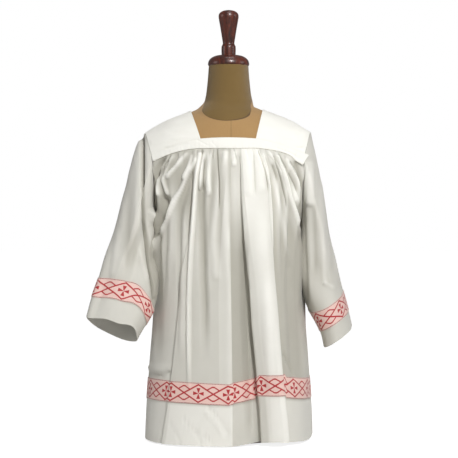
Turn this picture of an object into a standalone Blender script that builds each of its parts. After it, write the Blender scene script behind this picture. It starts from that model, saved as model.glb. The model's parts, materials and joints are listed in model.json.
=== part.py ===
"""A square-necked surplice of white cotton with woven red galloons, on a linen-covered dress form.

Metres, +Z up. The wearer faces -Y, so the wearer's right side is at -X.
The origin is on the floor under the middle of the form's round base.
"""

import math
from collections import namedtuple
from functools import lru_cache

import bpy
from mathutils import Vector

# Cloth
CLOTH = 0.0013
YOKE_CLOTH = 0.0018
BAND_CLOTH = 0.0026
GALLOON_CLOTH = 0.0010
SEAM_GAP = 0.0005
LAID_ON_GAP = 0.0004

# Yoke: an arch over the shoulders, measured by its angle from the ridge (minus is the front)
SEAM_ANGLE = 70.0
BAND_ANGLE = 60.8
BAND_JOIN_ANGLE = 0.35
RIDGE_AT_NECK = 0.8207
RIDGE_SLOPE = 0.49
NECK_HALF = 0.0905
RIDGE_BOW = 0.0045
RIDGE_BOW_AT = 0.155
RIDGE_BOW_HALF = 0.075
FRONT_SEAM_HEIGHT = 0.721
BACK_SEAM_HEIGHT = 0.744
SEAM_LEVEL_HALF = 0.06
SEAM_DROP = 2.0
FRONT_SEAM_DEPTH = 0.122
BACK_SEAM_DEPTH = 0.120
SEAM_DEPTH_LOSS = 1.0

YOKE_END_CURVE = 1.5
SHOULDER_PANEL_STEPS = 8
BAND_STEPS = 40

# Each side of the yoke: its neckline at the ridge and at the band, then its sleeve seam at both
YokeSide = namedtuple("YokeSide", "neck_top neck_low end_top end_low")
YOKE_SIDES = {
    "right": YokeSide(-0.0941, -0.0684, -0.2080, -0.1838),
    "left": YokeSide(0.0852, 0.0664, 0.2035, 0.1822),
}

# Skirt of the garment: the smooth form under its folds
RING_POWER = 2.5
UNDERARM_HEIGHT = 0.535
HEM_HEIGHT = 0.010
GALLOON_LOW = 0.104
GALLOON_HIGH = 0.155
ARMHOLE_SHARE = 0.17
ARMHOLE_SHARE_AT_HEM = 0.125
Section = namedtuple("Section", "height half_width front back")
SKIRT = (
    Section(0.00, 0.2070, 0.1800, 0.1720),
    Section(0.10, 0.2030, 0.1740, 0.1660),
    Section(0.20, 0.1960, 0.1680, 0.1610),
    Section(0.33, 0.1850, 0.1600, 0.1540),
    Section(0.45, 0.1810, 0.1530, 0.1500),
    Section(0.55, 0.1790, 0.1460, 0.1460),
    Section(0.64, 0.1830, 0.1390, 0.1390),
    Section(0.75, 0.1900, 0.1240, 0.1240),
)

# Gathers sewn into the yoke seam, and the folds they fall into, measured along the cloth from its middle
GATHERS = 24
COLUMNS_PER_GATHER = 3
ARMHOLE_COLUMNS = 6
GATHER_DEPTH = 0.0042
GATHER_DEPTH_AT_SEAM = 0.0012
GATHER_RUN_SHORTEST = 0.060
GATHER_RUN_SPREAD = 0.130
GATHER_DEPTH_SPREAD = 0.35
GATHER_GROWN_BELOW = 0.020
GATHER_FADE_FROM = 0.3
Fold = namedtuple("Fold", "at_seam at_hem half_seam half_hem out_seam out_hem lean")
FRONT_FOLDS = (
    Fold(-0.112, -0.200, 0.018, 0.030, -0.003, -0.008, 0.000),
    Fold(-0.081, -0.160, 0.017, 0.036, 0.004, 0.013, -0.009),
    Fold(-0.036, -0.085, 0.024, 0.045, 0.003, 0.004, 0.000),
    Fold(-0.004, -0.010, 0.017, 0.034, 0.004, 0.010, 0.010),
    Fold(0.019, 0.041, 0.014, 0.034, -0.006, -0.024, 0.000),
    Fold(0.050, 0.096, 0.024, 0.036, 0.006, 0.016, -0.004),
    Fold(0.088, 0.146, 0.016, 0.024, -0.003, -0.012, 0.000),
    Fold(0.120, 0.190, 0.018, 0.030, 0.003, 0.007, 0.003),
)
BACK_FOLDS = (
    Fold(-0.120, -0.185, 0.018, 0.032, 0.003, 0.009, -0.004),
    Fold(-0.088, -0.135, 0.016, 0.028, -0.004, -0.013, 0.000),
    Fold(-0.055, -0.080, 0.022, 0.038, 0.005, 0.015, 0.006),
    Fold(-0.018, -0.022, 0.016, 0.032, -0.005, -0.018, 0.000),
    Fold(0.016, 0.036, 0.018, 0.036, 0.005, 0.015, -0.006),
    Fold(0.050, 0.090, 0.016, 0.030, -0.004, -0.014, 0.000),
    Fold(0.085, 0.145, 0.020, 0.036, 0.004, 0.013, 0.005),
    Fold(0.120, 0.200, 0.016, 0.028, -0.002, -0.006, 0.000),
)
SKIRT_ROW_DEPTHS = (0.0, 0.012, 0.034, 0.070, 0.125, 0.205, 0.310, 0.430)
SKIRT_FULL_DEPTH = 0.560
FOLDS_GROWN_BELOW = 0.090
SEAM_SHAPE_FALL = 0.40
SIDE_EASE_SHARE = 0.10
SHARE_STEP = 0.004
SHARPEST_BEND = 0.6

# Sleeves: tubes from the armhole to the cuff, whose two half axes point to its outer fold and its front
Cuff = namedtuple("Cuff", "centre outward forward")
CUFFS = {
    "right": Cuff(
        Vector((-0.2865, -0.102, 0.2840)), Vector((-0.0590, 0.002, 0.0275)), Vector((0.005, -0.053, 0.0190))
    ),
    "left": Cuff(
        Vector((0.2745, 0.030, 0.2610)), Vector((0.0415, 0.090, 0.0200)), Vector((0.026, -0.014, 0.002))
    ),
}
Swell = namedtuple("Swell", "turn half_turn down half_down shift")
SLEEVE_SWELLS = {
    "right": (
        Swell(0.02, 0.17, 0.68, 0.42, Vector((0.035, -0.012, -0.004))),
        Swell(0.13, 0.11, 1.00, 0.60, Vector((0.004, -0.006, 0.016))),
        Swell(0.31, 0.10, 0.45, 0.42, Vector((0.008, -0.010, 0.0))),
        Swell(0.22, 0.07, 0.45, 0.40, Vector((0.000, 0.012, 0.0))),
        Swell(0.50, 0.18, 0.10, 0.50, Vector((-0.014, 0.0, 0.003))),
        Swell(0.04, 0.15, 0.36, 0.30, Vector((0.010, -0.006, 0.0))),
        Swell(0.78, 0.16, 0.45, 0.42, Vector((-0.004, 0.016, 0.0))),
    ),
    "left": (
        Swell(0.08, 0.17, 0.44, 0.55, Vector((-0.019, -0.014, 0.0))),
        Swell(0.30, 0.14, 0.32, 0.30, Vector((0.004, -0.014, 0.0))),
        Swell(0.48, 0.20, 0.62, 0.36, Vector((-0.006, 0.0, 0.0))),
        Swell(0.88, 0.22, 0.72, 0.30, Vector((-0.018, 0.006, 0.0))),
        Swell(0.66, 0.16, 0.50, 0.42, Vector((0.004, 0.012, 0.0))),
    ),
}
SLEEVE_COLUMNS = 32
SLEEVE_ROWS = (0.0, 0.06, 0.16, 0.30, 0.46, 0.62, 0.77, 0.90)  # shares of the way down to the galloon
CUFF_GALLOON_TOP = 0.105
CUFF_GALLOON_FOOT = 0.055
CUFF_POWER = 0.85
UNDERARM_TURN = 0.62  # the share of the seam's loop that lies below the yoke
SLEEVE_OVER_BODY = 1.8
SLEEVE_OVER_BODY_FADE = 0.06
SLEEVE_SEWN_SHARE = 0.06

# Dress form
FORM_POWER = 2.3
FORM_BOTTOM = 0.112
NECK_TOP = 0.933
NECK_START = 0.771
NECK_LEAN = 0.0046
NECK_LEAN_FADE = (0.826, 0.846)
FORM_COLUMNS = 32
FORM_GAP = 0.0019
FORM_SHOULDER_ROUND_FROM = 0.150
FORM_SHOULDER_ROUND = 31.0
YOKE_COVERS_FROM = 0.66
WIDEST_REACH = 0.30
REACH_STEPS = 30
TORSO = (
    Section(0.112, 0.1580, 0.1060, 0.1160),
    Section(0.200, 0.1660, 0.1120, 0.1240),
    Section(0.280, 0.1620, 0.1100, 0.1160),
    Section(0.370, 0.1480, 0.1030, 0.0960),
    Section(0.460, 0.1520, 0.1080, 0.0990),
    Section(0.550, 0.1620, 0.1170, 0.1100),
    Section(0.620, 0.1680, 0.1190, 0.1160),
    Section(0.700, 0.1820, 0.1150, 0.1150),
    Section(0.850, 0.2000, 0.1120, 0.1120),
)
NECK = (
    Section(0.7700, 0.1040, 0.0960, 0.0900),
    Section(0.8000, 0.0960, 0.0860, 0.0800),
    Section(0.8155, 0.0850, 0.0790, 0.0720),
    Section(0.8278, 0.0701, 0.0720, 0.0660),
    Section(0.8367, 0.0634, 0.0675, 0.0620),
    Section(0.8450, 0.0600, 0.0645, 0.0590),
    Section(0.8630, 0.0560, 0.0600, 0.0555),
    Section(0.9030, 0.0517, 0.0555, 0.0525),
    Section(0.9330, 0.0495, 0.0520, 0.0500),
)
TORSO_HEIGHTS = (0.112, 0.135, 0.20, 0.28, 0.37, 0.46, 0.55, 0.62, 0.67, 0.70)
SHOULDER_HEIGHTS = (0.72, 0.738, 0.752, 0.764, 0.776, 0.788, 0.80, 0.811, 0.822, 0.835, 0.855, 0.89, 0.933)

# Turned wood and the base; a profile runs from the bottom up as radius and height above the piece's foot
PIECE_GAP = 0.0003
TURNED_SIDES = 24
NECK_CAP_PROFILE = (
    (0.0500, 0.0), (0.0515, 0.0025), (0.0508, 0.0090), (0.0480, 0.0150), (0.0420, 0.0205),
    (0.0330, 0.0245), (0.0210, 0.0265),
)
FINIAL_PROFILE = (
    (0.0175, 0.0), (0.0179, 0.012), (0.0175, 0.0215), (0.0150, 0.0270), (0.0146, 0.0305), (0.0168, 0.045),
    (0.0205, 0.068), (0.0240, 0.088), (0.0251, 0.0965), (0.0235, 0.1035), (0.0165, 0.1095), (0.0070, 0.1120),
)
COLUMN_RADIUS = 0.020
BASE_RADIUS = 0.110
BASE_THICKNESS = 0.018
BASE_BEVEL = 0.004

LINEN = (0.43, 0.27, 0.125)
WOOD = (0.075, 0.022, 0.012)
WHITE = (0.86, 0.855, 0.82)
RED = (0.75, 0.25, 0.21)
COTTON_ROUGHNESS = 0.85
GALLOON_ROUGHNESS = 0.80
LINEN_ROUGHNESS = 0.90
WOOD_ROUGHNESS = 0.30


def clear_scene():
    for thing in list(bpy.data.objects):
        bpy.data.objects.remove(thing, do_unlink=True)


def material(name, colour, roughness):
    made = bpy.data.materials.new(name)
    made.use_nodes = True
    shader = made.node_tree.nodes["Principled BSDF"]
    shader.inputs["Base Color"].default_value = (*colour, 1.0)
    shader.inputs["Roughness"].default_value = roughness
    shader.inputs["Metallic"].default_value = 0.0
    return made


def smooth_step(low, high, value):
    share = min(1.0, max(0.0, (value - low) / (high - low)))
    return share * share * (3.0 - 2.0 * share)


def bump(distance):
    """1 in the middle, falling smoothly to 0 where distance is 1."""
    return 0.5 * (1.0 + math.cos(math.pi * distance)) if abs(distance) < 1.0 else 0.0


def scatter(index, salt):
    """A fixed irregular number from 0 to 1 for each index."""
    wave = math.sin(index * 12.9898 + salt * 78.233) * 43758.5453
    return wave - math.floor(wave)


def section_at(sections, height):
    """The section at a height, on a smooth curve through the listed ones."""
    last = len(sections) - 1
    if height <= sections[0].height:
        return sections[0]
    if height >= sections[last].height:
        return sections[last]
    upper = next(i for i, s in enumerate(sections) if s.height >= height)
    below, above = sections[upper - 1], sections[upper]
    before = sections[max(upper - 2, 0)]
    after = sections[min(upper + 1, last)]
    span = above.height - below.height
    share = (height - below.height) / span
    values = [height]
    for i in range(1, 4):
        slope_in = (above[i] - before[i]) / max(above.height - before.height, 1e-9) * span
        slope_out = (after[i] - below[i]) / max(after.height - below.height, 1e-9) * span
        cube, square = share ** 3, share ** 2
        values.append(
            (2 * cube - 3 * square + 1) * below[i]
            + (cube - 2 * square + share) * slope_in
            + (3 * square - 2 * cube) * above[i]
            + (cube - square) * slope_out
        )
    return Section(*values)


def power(value, exponent):
    return math.copysign(abs(value) ** exponent, value)


# Yoke

def ridge_height(x):
    bow = RIDGE_BOW * bump((abs(x) - RIDGE_BOW_AT) / RIDGE_BOW_HALF)
    if abs(x) >= NECK_HALF:
        return RIDGE_AT_NECK - RIDGE_SLOPE * (abs(x) - NECK_HALF) + bow
    return RIDGE_AT_NECK + RIDGE_SLOPE * (NECK_HALF ** 2 - x * x) / (2.0 * NECK_HALF) + bow


def yoke_radii(x, front):
    """The arch's depth and height radii at x."""
    fall = SEAM_DROP * max(0.0, abs(x) - SEAM_LEVEL_HALF) ** 2
    seam_height = (FRONT_SEAM_HEIGHT if front else BACK_SEAM_HEIGHT) - fall
    seam_depth = (FRONT_SEAM_DEPTH if front else BACK_SEAM_DEPTH) - SEAM_DEPTH_LOSS * x * x
    angle = math.radians(SEAM_ANGLE)
    return seam_depth / math.sin(angle), (ridge_height(x) - seam_height) / (1.0 - math.cos(angle))


def yoke_point(x, angle):
    """A point of the yoke's inner face. The angle is in degrees from the ridge, minus to the front."""
    depth, rise = yoke_radii(x, angle < 0)
    turn = math.radians(angle)
    return Vector((x, depth * math.sin(turn), ridge_height(x) - rise * (1.0 - math.cos(turn))))


def yoke_height(x, y):
    """The height of the yoke's inner face over a point in plan, or None beyond it."""
    depth, rise = yoke_radii(x, y < 0)
    if abs(y) >= depth:
        return None
    return ridge_height(x) - rise * (1.0 - math.sqrt(1.0 - (y / depth) ** 2))


def yoke_end(side, angle):
    share = (abs(angle) / SEAM_ANGLE) ** YOKE_END_CURVE
    return side.end_top + (side.end_low - side.end_top) * share


def neckline(side, angle):
    low = math.cos(math.radians(BAND_ANGLE))
    share = (math.cos(math.radians(angle)) - low) / (1.0 - low)
    return side.neck_low + (side.neck_top - side.neck_low) * share


# Skirt

@lru_cache(maxsize=None)
def ring_turns():
    """The angle round a reference ring at equal steps of its length."""
    steps = 720
    reach, depth = SKIRT[4].half_width, SKIRT[4].front
    points = []
    for i in range(steps + 1):
        turn = math.pi * i / steps
        points.append(Vector((-reach * power(math.cos(turn), 2 / RING_POWER),
                              depth * power(math.sin(turn), 2 / RING_POWER))))
    lengths = [0.0]
    for a, b in zip(points, points[1:]):
        lengths.append(lengths[-1] + (b - a).length)
    return [length / lengths[-1] for length in lengths]


def turn_at(share):
    lengths = ring_turns()
    low, high = 0, len(lengths) - 1
    while high - low > 1:
        middle = (low + high) // 2
        if lengths[middle] <= share:
            low = middle
        else:
            high = middle
    part = (share - lengths[low]) / (lengths[high] - lengths[low])
    return math.pi * (low + part) / (len(lengths) - 1)


def ring_point(share, height, way):
    """A point of the smooth skirt. way is -1 for the front half and 1 for the back."""
    section = section_at(SKIRT, height)
    turn = turn_at(min(1.0, max(0.0, share)))
    depth = section.front if way < 0 else section.back
    return Vector((
        -section.half_width * power(math.cos(turn), 2 / RING_POWER),
        way * depth * power(max(0.0, math.sin(turn)), 2 / RING_POWER),
        height,
    ))


@lru_cache(maxsize=None)
def half_ring_length(height, way):
    points = [ring_point(i / 90, height, way) for i in range(91)]
    return sum((b - a).length for a, b in zip(points, points[1:]))


def armhole_point(side, rise, way):
    """A point of the armhole below the yoke, from the underarm at 0 to the yoke's corner at 1."""
    corner = yoke_point(side.end_low, way * SEAM_ANGLE)
    reach = math.copysign(section_at(SKIRT, UNDERARM_HEIGHT).half_width, side.end_low)
    turn = rise * math.pi / 2
    return Vector((
        reach + (corner.x - reach) * rise ** 2,
        corner.y * math.sin(turn),
        UNDERARM_HEIGHT + (corner.z - UNDERARM_HEIGHT) * (1.0 - math.cos(turn)),
    ))


def skirt_top(share, way):
    """The skirt's upper edge: up one armhole, along the gathered seam and down the other armhole."""
    right, left = YOKE_SIDES["right"], YOKE_SIDES["left"]
    if share < ARMHOLE_SHARE:
        return armhole_point(right, share / ARMHOLE_SHARE, way)
    if share > 1 - ARMHOLE_SHARE:
        return armhole_point(left, (1 - share) / ARMHOLE_SHARE, way)
    along = (share - ARMHOLE_SHARE) / (1 - 2 * ARMHOLE_SHARE)
    return yoke_point(right.end_low + (left.end_low - right.end_low) * along, way * SEAM_ANGLE)


def share_lower_down(share, fallen):
    """The gathered cloth spreads over more of the ring as it falls."""
    if share < ARMHOLE_SHARE:
        at_hem = share * ARMHOLE_SHARE_AT_HEM / ARMHOLE_SHARE
    elif share > 1 - ARMHOLE_SHARE:
        at_hem = 1 - (1 - share) * ARMHOLE_SHARE_AT_HEM / ARMHOLE_SHARE
    else:
        along = (share - ARMHOLE_SHARE) / (1 - 2 * ARMHOLE_SHARE)
        at_hem = ARMHOLE_SHARE_AT_HEM + along * (1 - 2 * ARMHOLE_SHARE_AT_HEM)
    return share + (at_hem - share) * fallen


def gather_wave(share, depth_below, way):
    """How far the small gathers push the cloth out, dying away one by one below the seam."""
    if not ARMHOLE_SHARE <= share <= 1 - ARMHOLE_SHARE:
        return 0.0
    place = (share - ARMHOLE_SHARE) / (1 - 2 * ARMHOLE_SHARE) * GATHERS
    run = GATHER_RUN_SHORTEST + GATHER_RUN_SPREAD * scatter(round(place), 3 + way)
    size = GATHER_DEPTH * (1 - GATHER_DEPTH_SPREAD * (1 - scatter(round(place), 8 + way)))
    begun = smooth_step(0.0, GATHER_GROWN_BELOW, depth_below)
    grown = GATHER_DEPTH_AT_SEAM + (size - GATHER_DEPTH_AT_SEAM) * begun
    edge = smooth_step(0.0, 1.0, min(place, GATHERS - place))
    fade = 1 - smooth_step(GATHER_FADE_FROM * run, run, depth_below)
    return -grown * edge * math.cos(2 * math.pi * place) * fade


def fold_shift(folds, along, fallen, depth_below):
    """How far the large folds move the cloth outwards and sideways."""
    out, side = 0.0, 0.0
    begun = smooth_step(0.0, FOLDS_GROWN_BELOW, depth_below)
    for fold in folds:
        middle = fold.at_seam + (fold.at_hem - fold.at_seam) * fallen
        half = fold.half_seam + (fold.half_hem - fold.half_seam) * fallen
        height = fold.out_seam + (fold.out_hem - fold.out_seam) * fallen
        share = bump((along - middle) / half) * begun
        out += height * share
        side += fold.lean * share * fallen
    return out, side


def skirt_point(share, height, way):
    """A point of the skirt's inner face, on the column that starts at this share of the upper edge."""
    top = skirt_top(share, way)
    depth_below = max(0.0, top.z - height)
    fallen = min(1.0, depth_below / (top.z - HEM_HEIGHT))
    lower = share_lower_down(share, fallen)
    base = ring_point(lower, height, way)
    start = ring_point(share, top.z, way)
    held = 1.0 - smooth_step(0.0, SEAM_SHAPE_FALL, fallen)
    base += Vector((top.x - start.x, top.y - start.y, 0.0)) * held
    ahead = ring_point(lower + SHARE_STEP, height, way) - ring_point(lower - SHARE_STEP, height, way)
    ahead.z = 0.0
    ahead.normalize()
    outward = Vector((ahead.y, -ahead.x, 0.0)) * (1 if way < 0 else -1)
    along = (lower - 0.5) * half_ring_length(round(height, 4), way)
    near_side = smooth_step(0.0, SIDE_EASE_SHARE, min(lower, 1 - lower))
    out, sideways = fold_shift(FRONT_FOLDS if way < 0 else BACK_FOLDS, along, fallen, depth_below)
    out = out * near_side + gather_wave(share, depth_below, way)
    return base + outward * out + ahead * sideways * near_side


def skirt_shares():
    """The columns of a panel: a few beside each armhole and some in each gather."""
    inside = GATHERS * COLUMNS_PER_GATHER
    shares = [ARMHOLE_SHARE * i / ARMHOLE_COLUMNS for i in range(ARMHOLE_COLUMNS)]
    shares += [ARMHOLE_SHARE + (1 - 2 * ARMHOLE_SHARE) * i / inside for i in range(inside + 1)]
    shares += [1 - ARMHOLE_SHARE * i / ARMHOLE_COLUMNS for i in reversed(range(ARMHOLE_COLUMNS))]
    return shares


def skirt_rows(way):
    """The panel's points from the seam down to the hem, and the number of the galloon's two rows."""
    half = half_ring_length(UNDERARM_HEIGHT, way)
    margin = SEAM_GAP / half
    shares = [min(1 - margin, max(margin, share)) for share in skirt_shares()]
    rows = []
    for depth in SKIRT_ROW_DEPTHS:
        row = []
        for share in shares:
            top = skirt_top(share, way).z - SEAM_GAP
            height = top + (GALLOON_HIGH - top) * depth / SKIRT_FULL_DEPTH
            row.append(skirt_point(share, height, way))
        rows.append(row)
    for height in (GALLOON_HIGH, GALLOON_LOW, HEM_HEIGHT):
        rows.append([skirt_point(share, height, way) for share in shares])
    return rows, (len(SKIRT_ROW_DEPTHS), len(SKIRT_ROW_DEPTHS) + 1)


# Sleeves

def armhole_loop(side, turn):
    """The sleeve's seam: from the underarm up the front, over the shoulder and down the back."""
    way = -1 if turn < 0.5 else 1
    from_underarm = min(turn, 1 - turn) * 2
    if from_underarm <= UNDERARM_TURN:
        point = armhole_point(side, from_underarm / UNDERARM_TURN, way)
    else:
        angle = SEAM_ANGLE * (1 - (from_underarm - UNDERARM_TURN) / (1 - UNDERARM_TURN)) * way
        point = yoke_point(yoke_end(side, angle), angle)
    lifted = 1 - smooth_step(UNDERARM_TURN, UNDERARM_TURN + SLEEVE_OVER_BODY_FADE, from_underarm)
    over_body = SLEEVE_OVER_BODY * CLOTH * lifted
    point.x += math.copysign(2 * SEAM_GAP + over_body, side.end_low)
    return point


def cuff_point(cuff, turn):
    angle = 2 * math.pi * (turn - 0.5)
    outward = cuff.outward * power(math.cos(angle), CUFF_POWER)
    return cuff.centre + outward - cuff.forward * power(math.sin(angle), CUFF_POWER)


def sleeve_point(name, turn, down):
    start = armhole_loop(YOKE_SIDES[name], turn)
    point = start.lerp(cuff_point(CUFFS[name], turn), down)
    sewn = smooth_step(0.0, SLEEVE_SEWN_SHARE, down)
    for swell in SLEEVE_SWELLS[name]:
        round_by = abs((turn - swell.turn + 0.5) % 1.0 - 0.5)
        size = bump(round_by / swell.half_turn) * bump((down - swell.down) / swell.half_down)
        point += swell.shift * size * sewn
    return point


def sleeve_downs(name, turn):
    """The rows of one line of the sleeve; the galloon keeps its distance from the cuff all round."""
    line = cuff_point(CUFFS[name], turn) - armhole_loop(YOKE_SIDES[name], turn)
    top = 1 - CUFF_GALLOON_TOP / line.length
    return [top * share for share in SLEEVE_ROWS] + [top, 1 - CUFF_GALLOON_FOOT / line.length, 1.0]


def sleeve_rows(name):
    turns = [i / SLEEVE_COLUMNS for i in range(SLEEVE_COLUMNS)]
    lines = [[sleeve_point(name, turn, down) for down in sleeve_downs(name, turn)] for turn in turns]
    return [list(row) for row in zip(*lines)], (len(SLEEVE_ROWS), len(SLEEVE_ROWS) + 1)


# Walls: a grid of points moved out along its even normals, with a rim round it

def even_normals(rows, closed, facing):
    """Normals at the points, lengthened where the cloth bends so that the wall keeps its thickness."""
    count = len(rows[0])
    spans = count if closed else count - 1
    faces = []
    for upper, lower in zip(rows, rows[1:]):
        line = []
        for i in range(spans):
            after = (i + 1) % count
            line.append(((lower[i] - upper[after]).cross(lower[after] - upper[i]) * facing).normalized())
        faces.append(line)
    normals = []
    for r in range(len(rows)):
        line = []
        for c in range(count):
            near = []
            for fr in (r - 1, r):
                for fc in (c - 1, c):
                    if closed:
                        fc %= count
                    if 0 <= fr < len(faces) and 0 <= fc < spans:
                        near.append(faces[fr][fc])
            mean = sum(near, Vector()).normalized()
            even = sum(mean.dot(face) for face in near) / len(near)
            line.append(mean / max(even, SHARPEST_BEND))
        normals.append(line)
    return normals


def moved_out(rows, normals, distance):
    return [[p + n * distance for p, n in zip(row, line)] for row, line in zip(rows, normals)]


def add_object(name, points, faces, look):
    mesh = bpy.data.meshes.new(name)
    mesh.from_pydata([tuple(p) for p in points], [], faces)
    mesh.validate()
    mesh.shade_smooth()
    mesh.set_sharp_from_angle(angle=math.radians(50))
    mesh.materials.append(look)
    made = bpy.data.objects.new(name, mesh)
    bpy.context.scene.collection.objects.link(made)
    return made


def add_wall(name, inner, outer, closed, facing, look):
    """A closed wall between two grids of the same shape."""
    height, count = len(inner), len(inner[0])
    points = [p for row in inner for p in row] + [p for row in outer for p in row]
    half = height * count
    spans = count if closed else count - 1

    def at(r, c, out):
        return r * count + c % count + (half if out else 0)

    faces = []
    for r in range(height - 1):
        for c in range(spans):
            faces.append((at(r, c, 1), at(r + 1, c, 1), at(r + 1, c + 1, 1), at(r, c + 1, 1)))
            faces.append((at(r, c, 0), at(r, c + 1, 0), at(r + 1, c + 1, 0), at(r + 1, c, 0)))
    for c in range(spans):
        faces.append((at(0, c, 0), at(0, c, 1), at(0, c + 1, 1), at(0, c + 1, 0)))
        last = height - 1
        faces.append((at(last, c, 1), at(last, c, 0), at(last, c + 1, 0), at(last, c + 1, 1)))
    if not closed:
        for r in range(height - 1):
            end = count - 1
            faces.append((at(r, 0, 1), at(r, 0, 0), at(r + 1, 0, 0), at(r + 1, 0, 1)))
            faces.append((at(r, end, 0), at(r, end, 1), at(r + 1, end, 1), at(r + 1, end, 0)))
    if facing < 0:
        faces = [tuple(reversed(face)) for face in faces]
    return add_object(name, points, faces, look)


def add_cloth(name, rows, thickness, look, closed=False, facing=1):
    """A cloth wall on the grid, and the normals that pieces laid on it are moved out by."""
    normals = even_normals(rows, closed, facing)
    add_wall(name, rows, moved_out(rows, normals, thickness), closed, facing, look)
    return normals


def add_galloon(name, rows, normals, span, look, closed=False, facing=1):
    """A woven braid laid on a panel between two of its rows."""
    first, last = span
    part, lines = rows[first:last + 1], normals[first:last + 1]
    low = CLOTH + LAID_ON_GAP
    inner = moved_out(part, lines, low)
    outer = moved_out(part, lines, low + GALLOON_CLOTH)
    add_wall(name, inner, outer, closed, facing, look)


# Pieces

def build_yoke(white):
    steps = SHOULDER_PANEL_STEPS
    panel_angles = [BAND_ANGLE * (i / steps - 1) for i in range(2 * steps + 1)]
    for name, side in YOKE_SIDES.items():
        rows = []
        for angle in panel_angles:
            start, end = neckline(side, angle), yoke_end(side, angle)
            row = [yoke_point(start + (end - start) * i / steps, angle) for i in range(steps + 1)]
            rows.append(row)
        facing = 1 if name == "right" else -1
        add_cloth(f"yoke_shoulder_{name}", rows, YOKE_CLOTH, white, facing=facing)
    right, left = YOKE_SIDES["right"], YOKE_SIDES["left"]
    for name, way in (("front", -1), ("back", 1)):
        rows = []
        for angle in (BAND_ANGLE + BAND_JOIN_ANGLE, (BAND_ANGLE + SEAM_ANGLE) / 2, SEAM_ANGLE):
            start, end = yoke_end(right, angle), yoke_end(left, angle)
            marks = [start + (end - start) * i / BAND_STEPS for i in range(BAND_STEPS + 1)]
            rows.append([yoke_point(mark, way * angle) for mark in marks])
        add_cloth(f"yoke_{name}_band", rows, BAND_CLOTH, white, facing=-way)


def build_skirt(white, red):
    for name, way in (("front", -1), ("back", 1)):
        rows, galloon = skirt_rows(way)
        normals = add_cloth(f"body_{name}", rows, CLOTH, white, facing=-way)
        add_galloon(f"hem_galloon_{name}", rows, normals, galloon, red, facing=-way)


def build_sleeves(white, red):
    for name in YOKE_SIDES:
        rows, galloon = sleeve_rows(name)
        facing = -1 if name == "right" else 1
        normals = add_cloth(f"sleeve_{name}", rows, CLOTH, white, closed=True, facing=facing)
        add_galloon(f"cuff_galloon_{name}", rows, normals, galloon, red, closed=True, facing=facing)


def ellipse_reach(section, angle, exponent):
    """The radius of a section's ring in a direction."""
    depth = section.front if math.sin(angle) < 0 else section.back
    across = abs(math.cos(angle) / section.half_width) ** exponent
    along = abs(math.sin(angle) / depth) ** exponent
    return (across + along) ** (-1 / exponent)


def under_yoke_reach(angle, height):
    """How far the form may reach at a height so that it stays just under the yoke."""
    low, high = 0.0, WIDEST_REACH
    for _ in range(REACH_STEPS):
        middle = (low + high) / 2
        x, y = middle * math.cos(angle), middle * math.sin(angle)
        over = yoke_height(x, y)
        beyond = max(0.0, abs(x) - FORM_SHOULDER_ROUND_FROM)
        free = over is not None and over - FORM_GAP - FORM_SHOULDER_ROUND * beyond ** 2 > height
        low, high = (middle, high) if free else (low, middle)
    return low


def form_ring(height):
    ring = []
    for i in range(FORM_COLUMNS):
        angle = 2 * math.pi * i / FORM_COLUMNS
        reach = ellipse_reach(section_at(TORSO, height), angle, FORM_POWER)
        if height > YOKE_COVERS_FROM:
            reach = min(reach, under_yoke_reach(angle, height))
        if height > NECK_START:
            lean = NECK_LEAN * (1 - smooth_step(*NECK_LEAN_FADE, height))
            neck = ellipse_reach(section_at(NECK, height), angle, 2.0) - lean * math.cos(angle)
            reach = max(reach, neck)
        ring.append(Vector((reach * math.cos(angle), reach * math.sin(angle), height)))
    return ring


def add_lofted(name, rings, look):
    """A closed solid through rings of equal count, from the bottom up, with flat ends."""
    count = len(rings[0])
    points = [p for ring in rings for p in ring]
    faces = []
    for r in range(len(rings) - 1):
        for c in range(count):
            after = (c + 1) % count
            faces.append((r * count + c, r * count + after, (r + 1) * count + after, (r + 1) * count + c))
    faces.append(tuple(reversed(range(count))))
    faces.append(tuple(range((len(rings) - 1) * count, len(rings) * count)))
    return add_object(name, points, faces, look)


def turned_rings(profile, foot):
    rings = []
    for radius, height in profile:
        turns = (2 * math.pi * i / TURNED_SIDES for i in range(TURNED_SIDES))
        rings.append([Vector((radius * math.cos(t), radius * math.sin(t), foot + height)) for t in turns])
    return rings


def build_form(linen, wood):
    add_lofted("form_torso", [form_ring(h) for h in TORSO_HEIGHTS + SHOULDER_HEIGHTS], linen)
    cap_foot = NECK_TOP + PIECE_GAP
    add_lofted("neck_cap", turned_rings(NECK_CAP_PROFILE, cap_foot), wood)
    finial_foot = cap_foot + NECK_CAP_PROFILE[-1][1] + PIECE_GAP
    add_lofted("neck_finial", turned_rings(FINIAL_PROFILE, finial_foot), wood)
    rim = BASE_RADIUS - BASE_BEVEL
    plate = ((BASE_RADIUS, 0.0), (BASE_RADIUS, BASE_THICKNESS - BASE_BEVEL), (rim, BASE_THICKNESS))
    add_lofted("base_plate", turned_rings(plate, 0.0), wood)
    column_foot = BASE_THICKNESS + PIECE_GAP
    column = ((COLUMN_RADIUS, 0.0), (COLUMN_RADIUS, FORM_BOTTOM - PIECE_GAP - column_foot))
    add_lofted("base_column", turned_rings(column, column_foot), wood)


def main():
    clear_scene()
    white = material("white_cotton", WHITE, COTTON_ROUGHNESS)
    red = material("woven_galloon", RED, GALLOON_ROUGHNESS)
    linen = material("linen_cover", LINEN, LINEN_ROUGHNESS)
    wood = material("mahogany", WOOD, WOOD_ROUGHNESS)
    build_yoke(white)
    build_skirt(white, red)
    build_sleeves(white, red)
    build_form(linen, wood)


main()
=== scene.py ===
import json
import math
from collections import namedtuple

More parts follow.
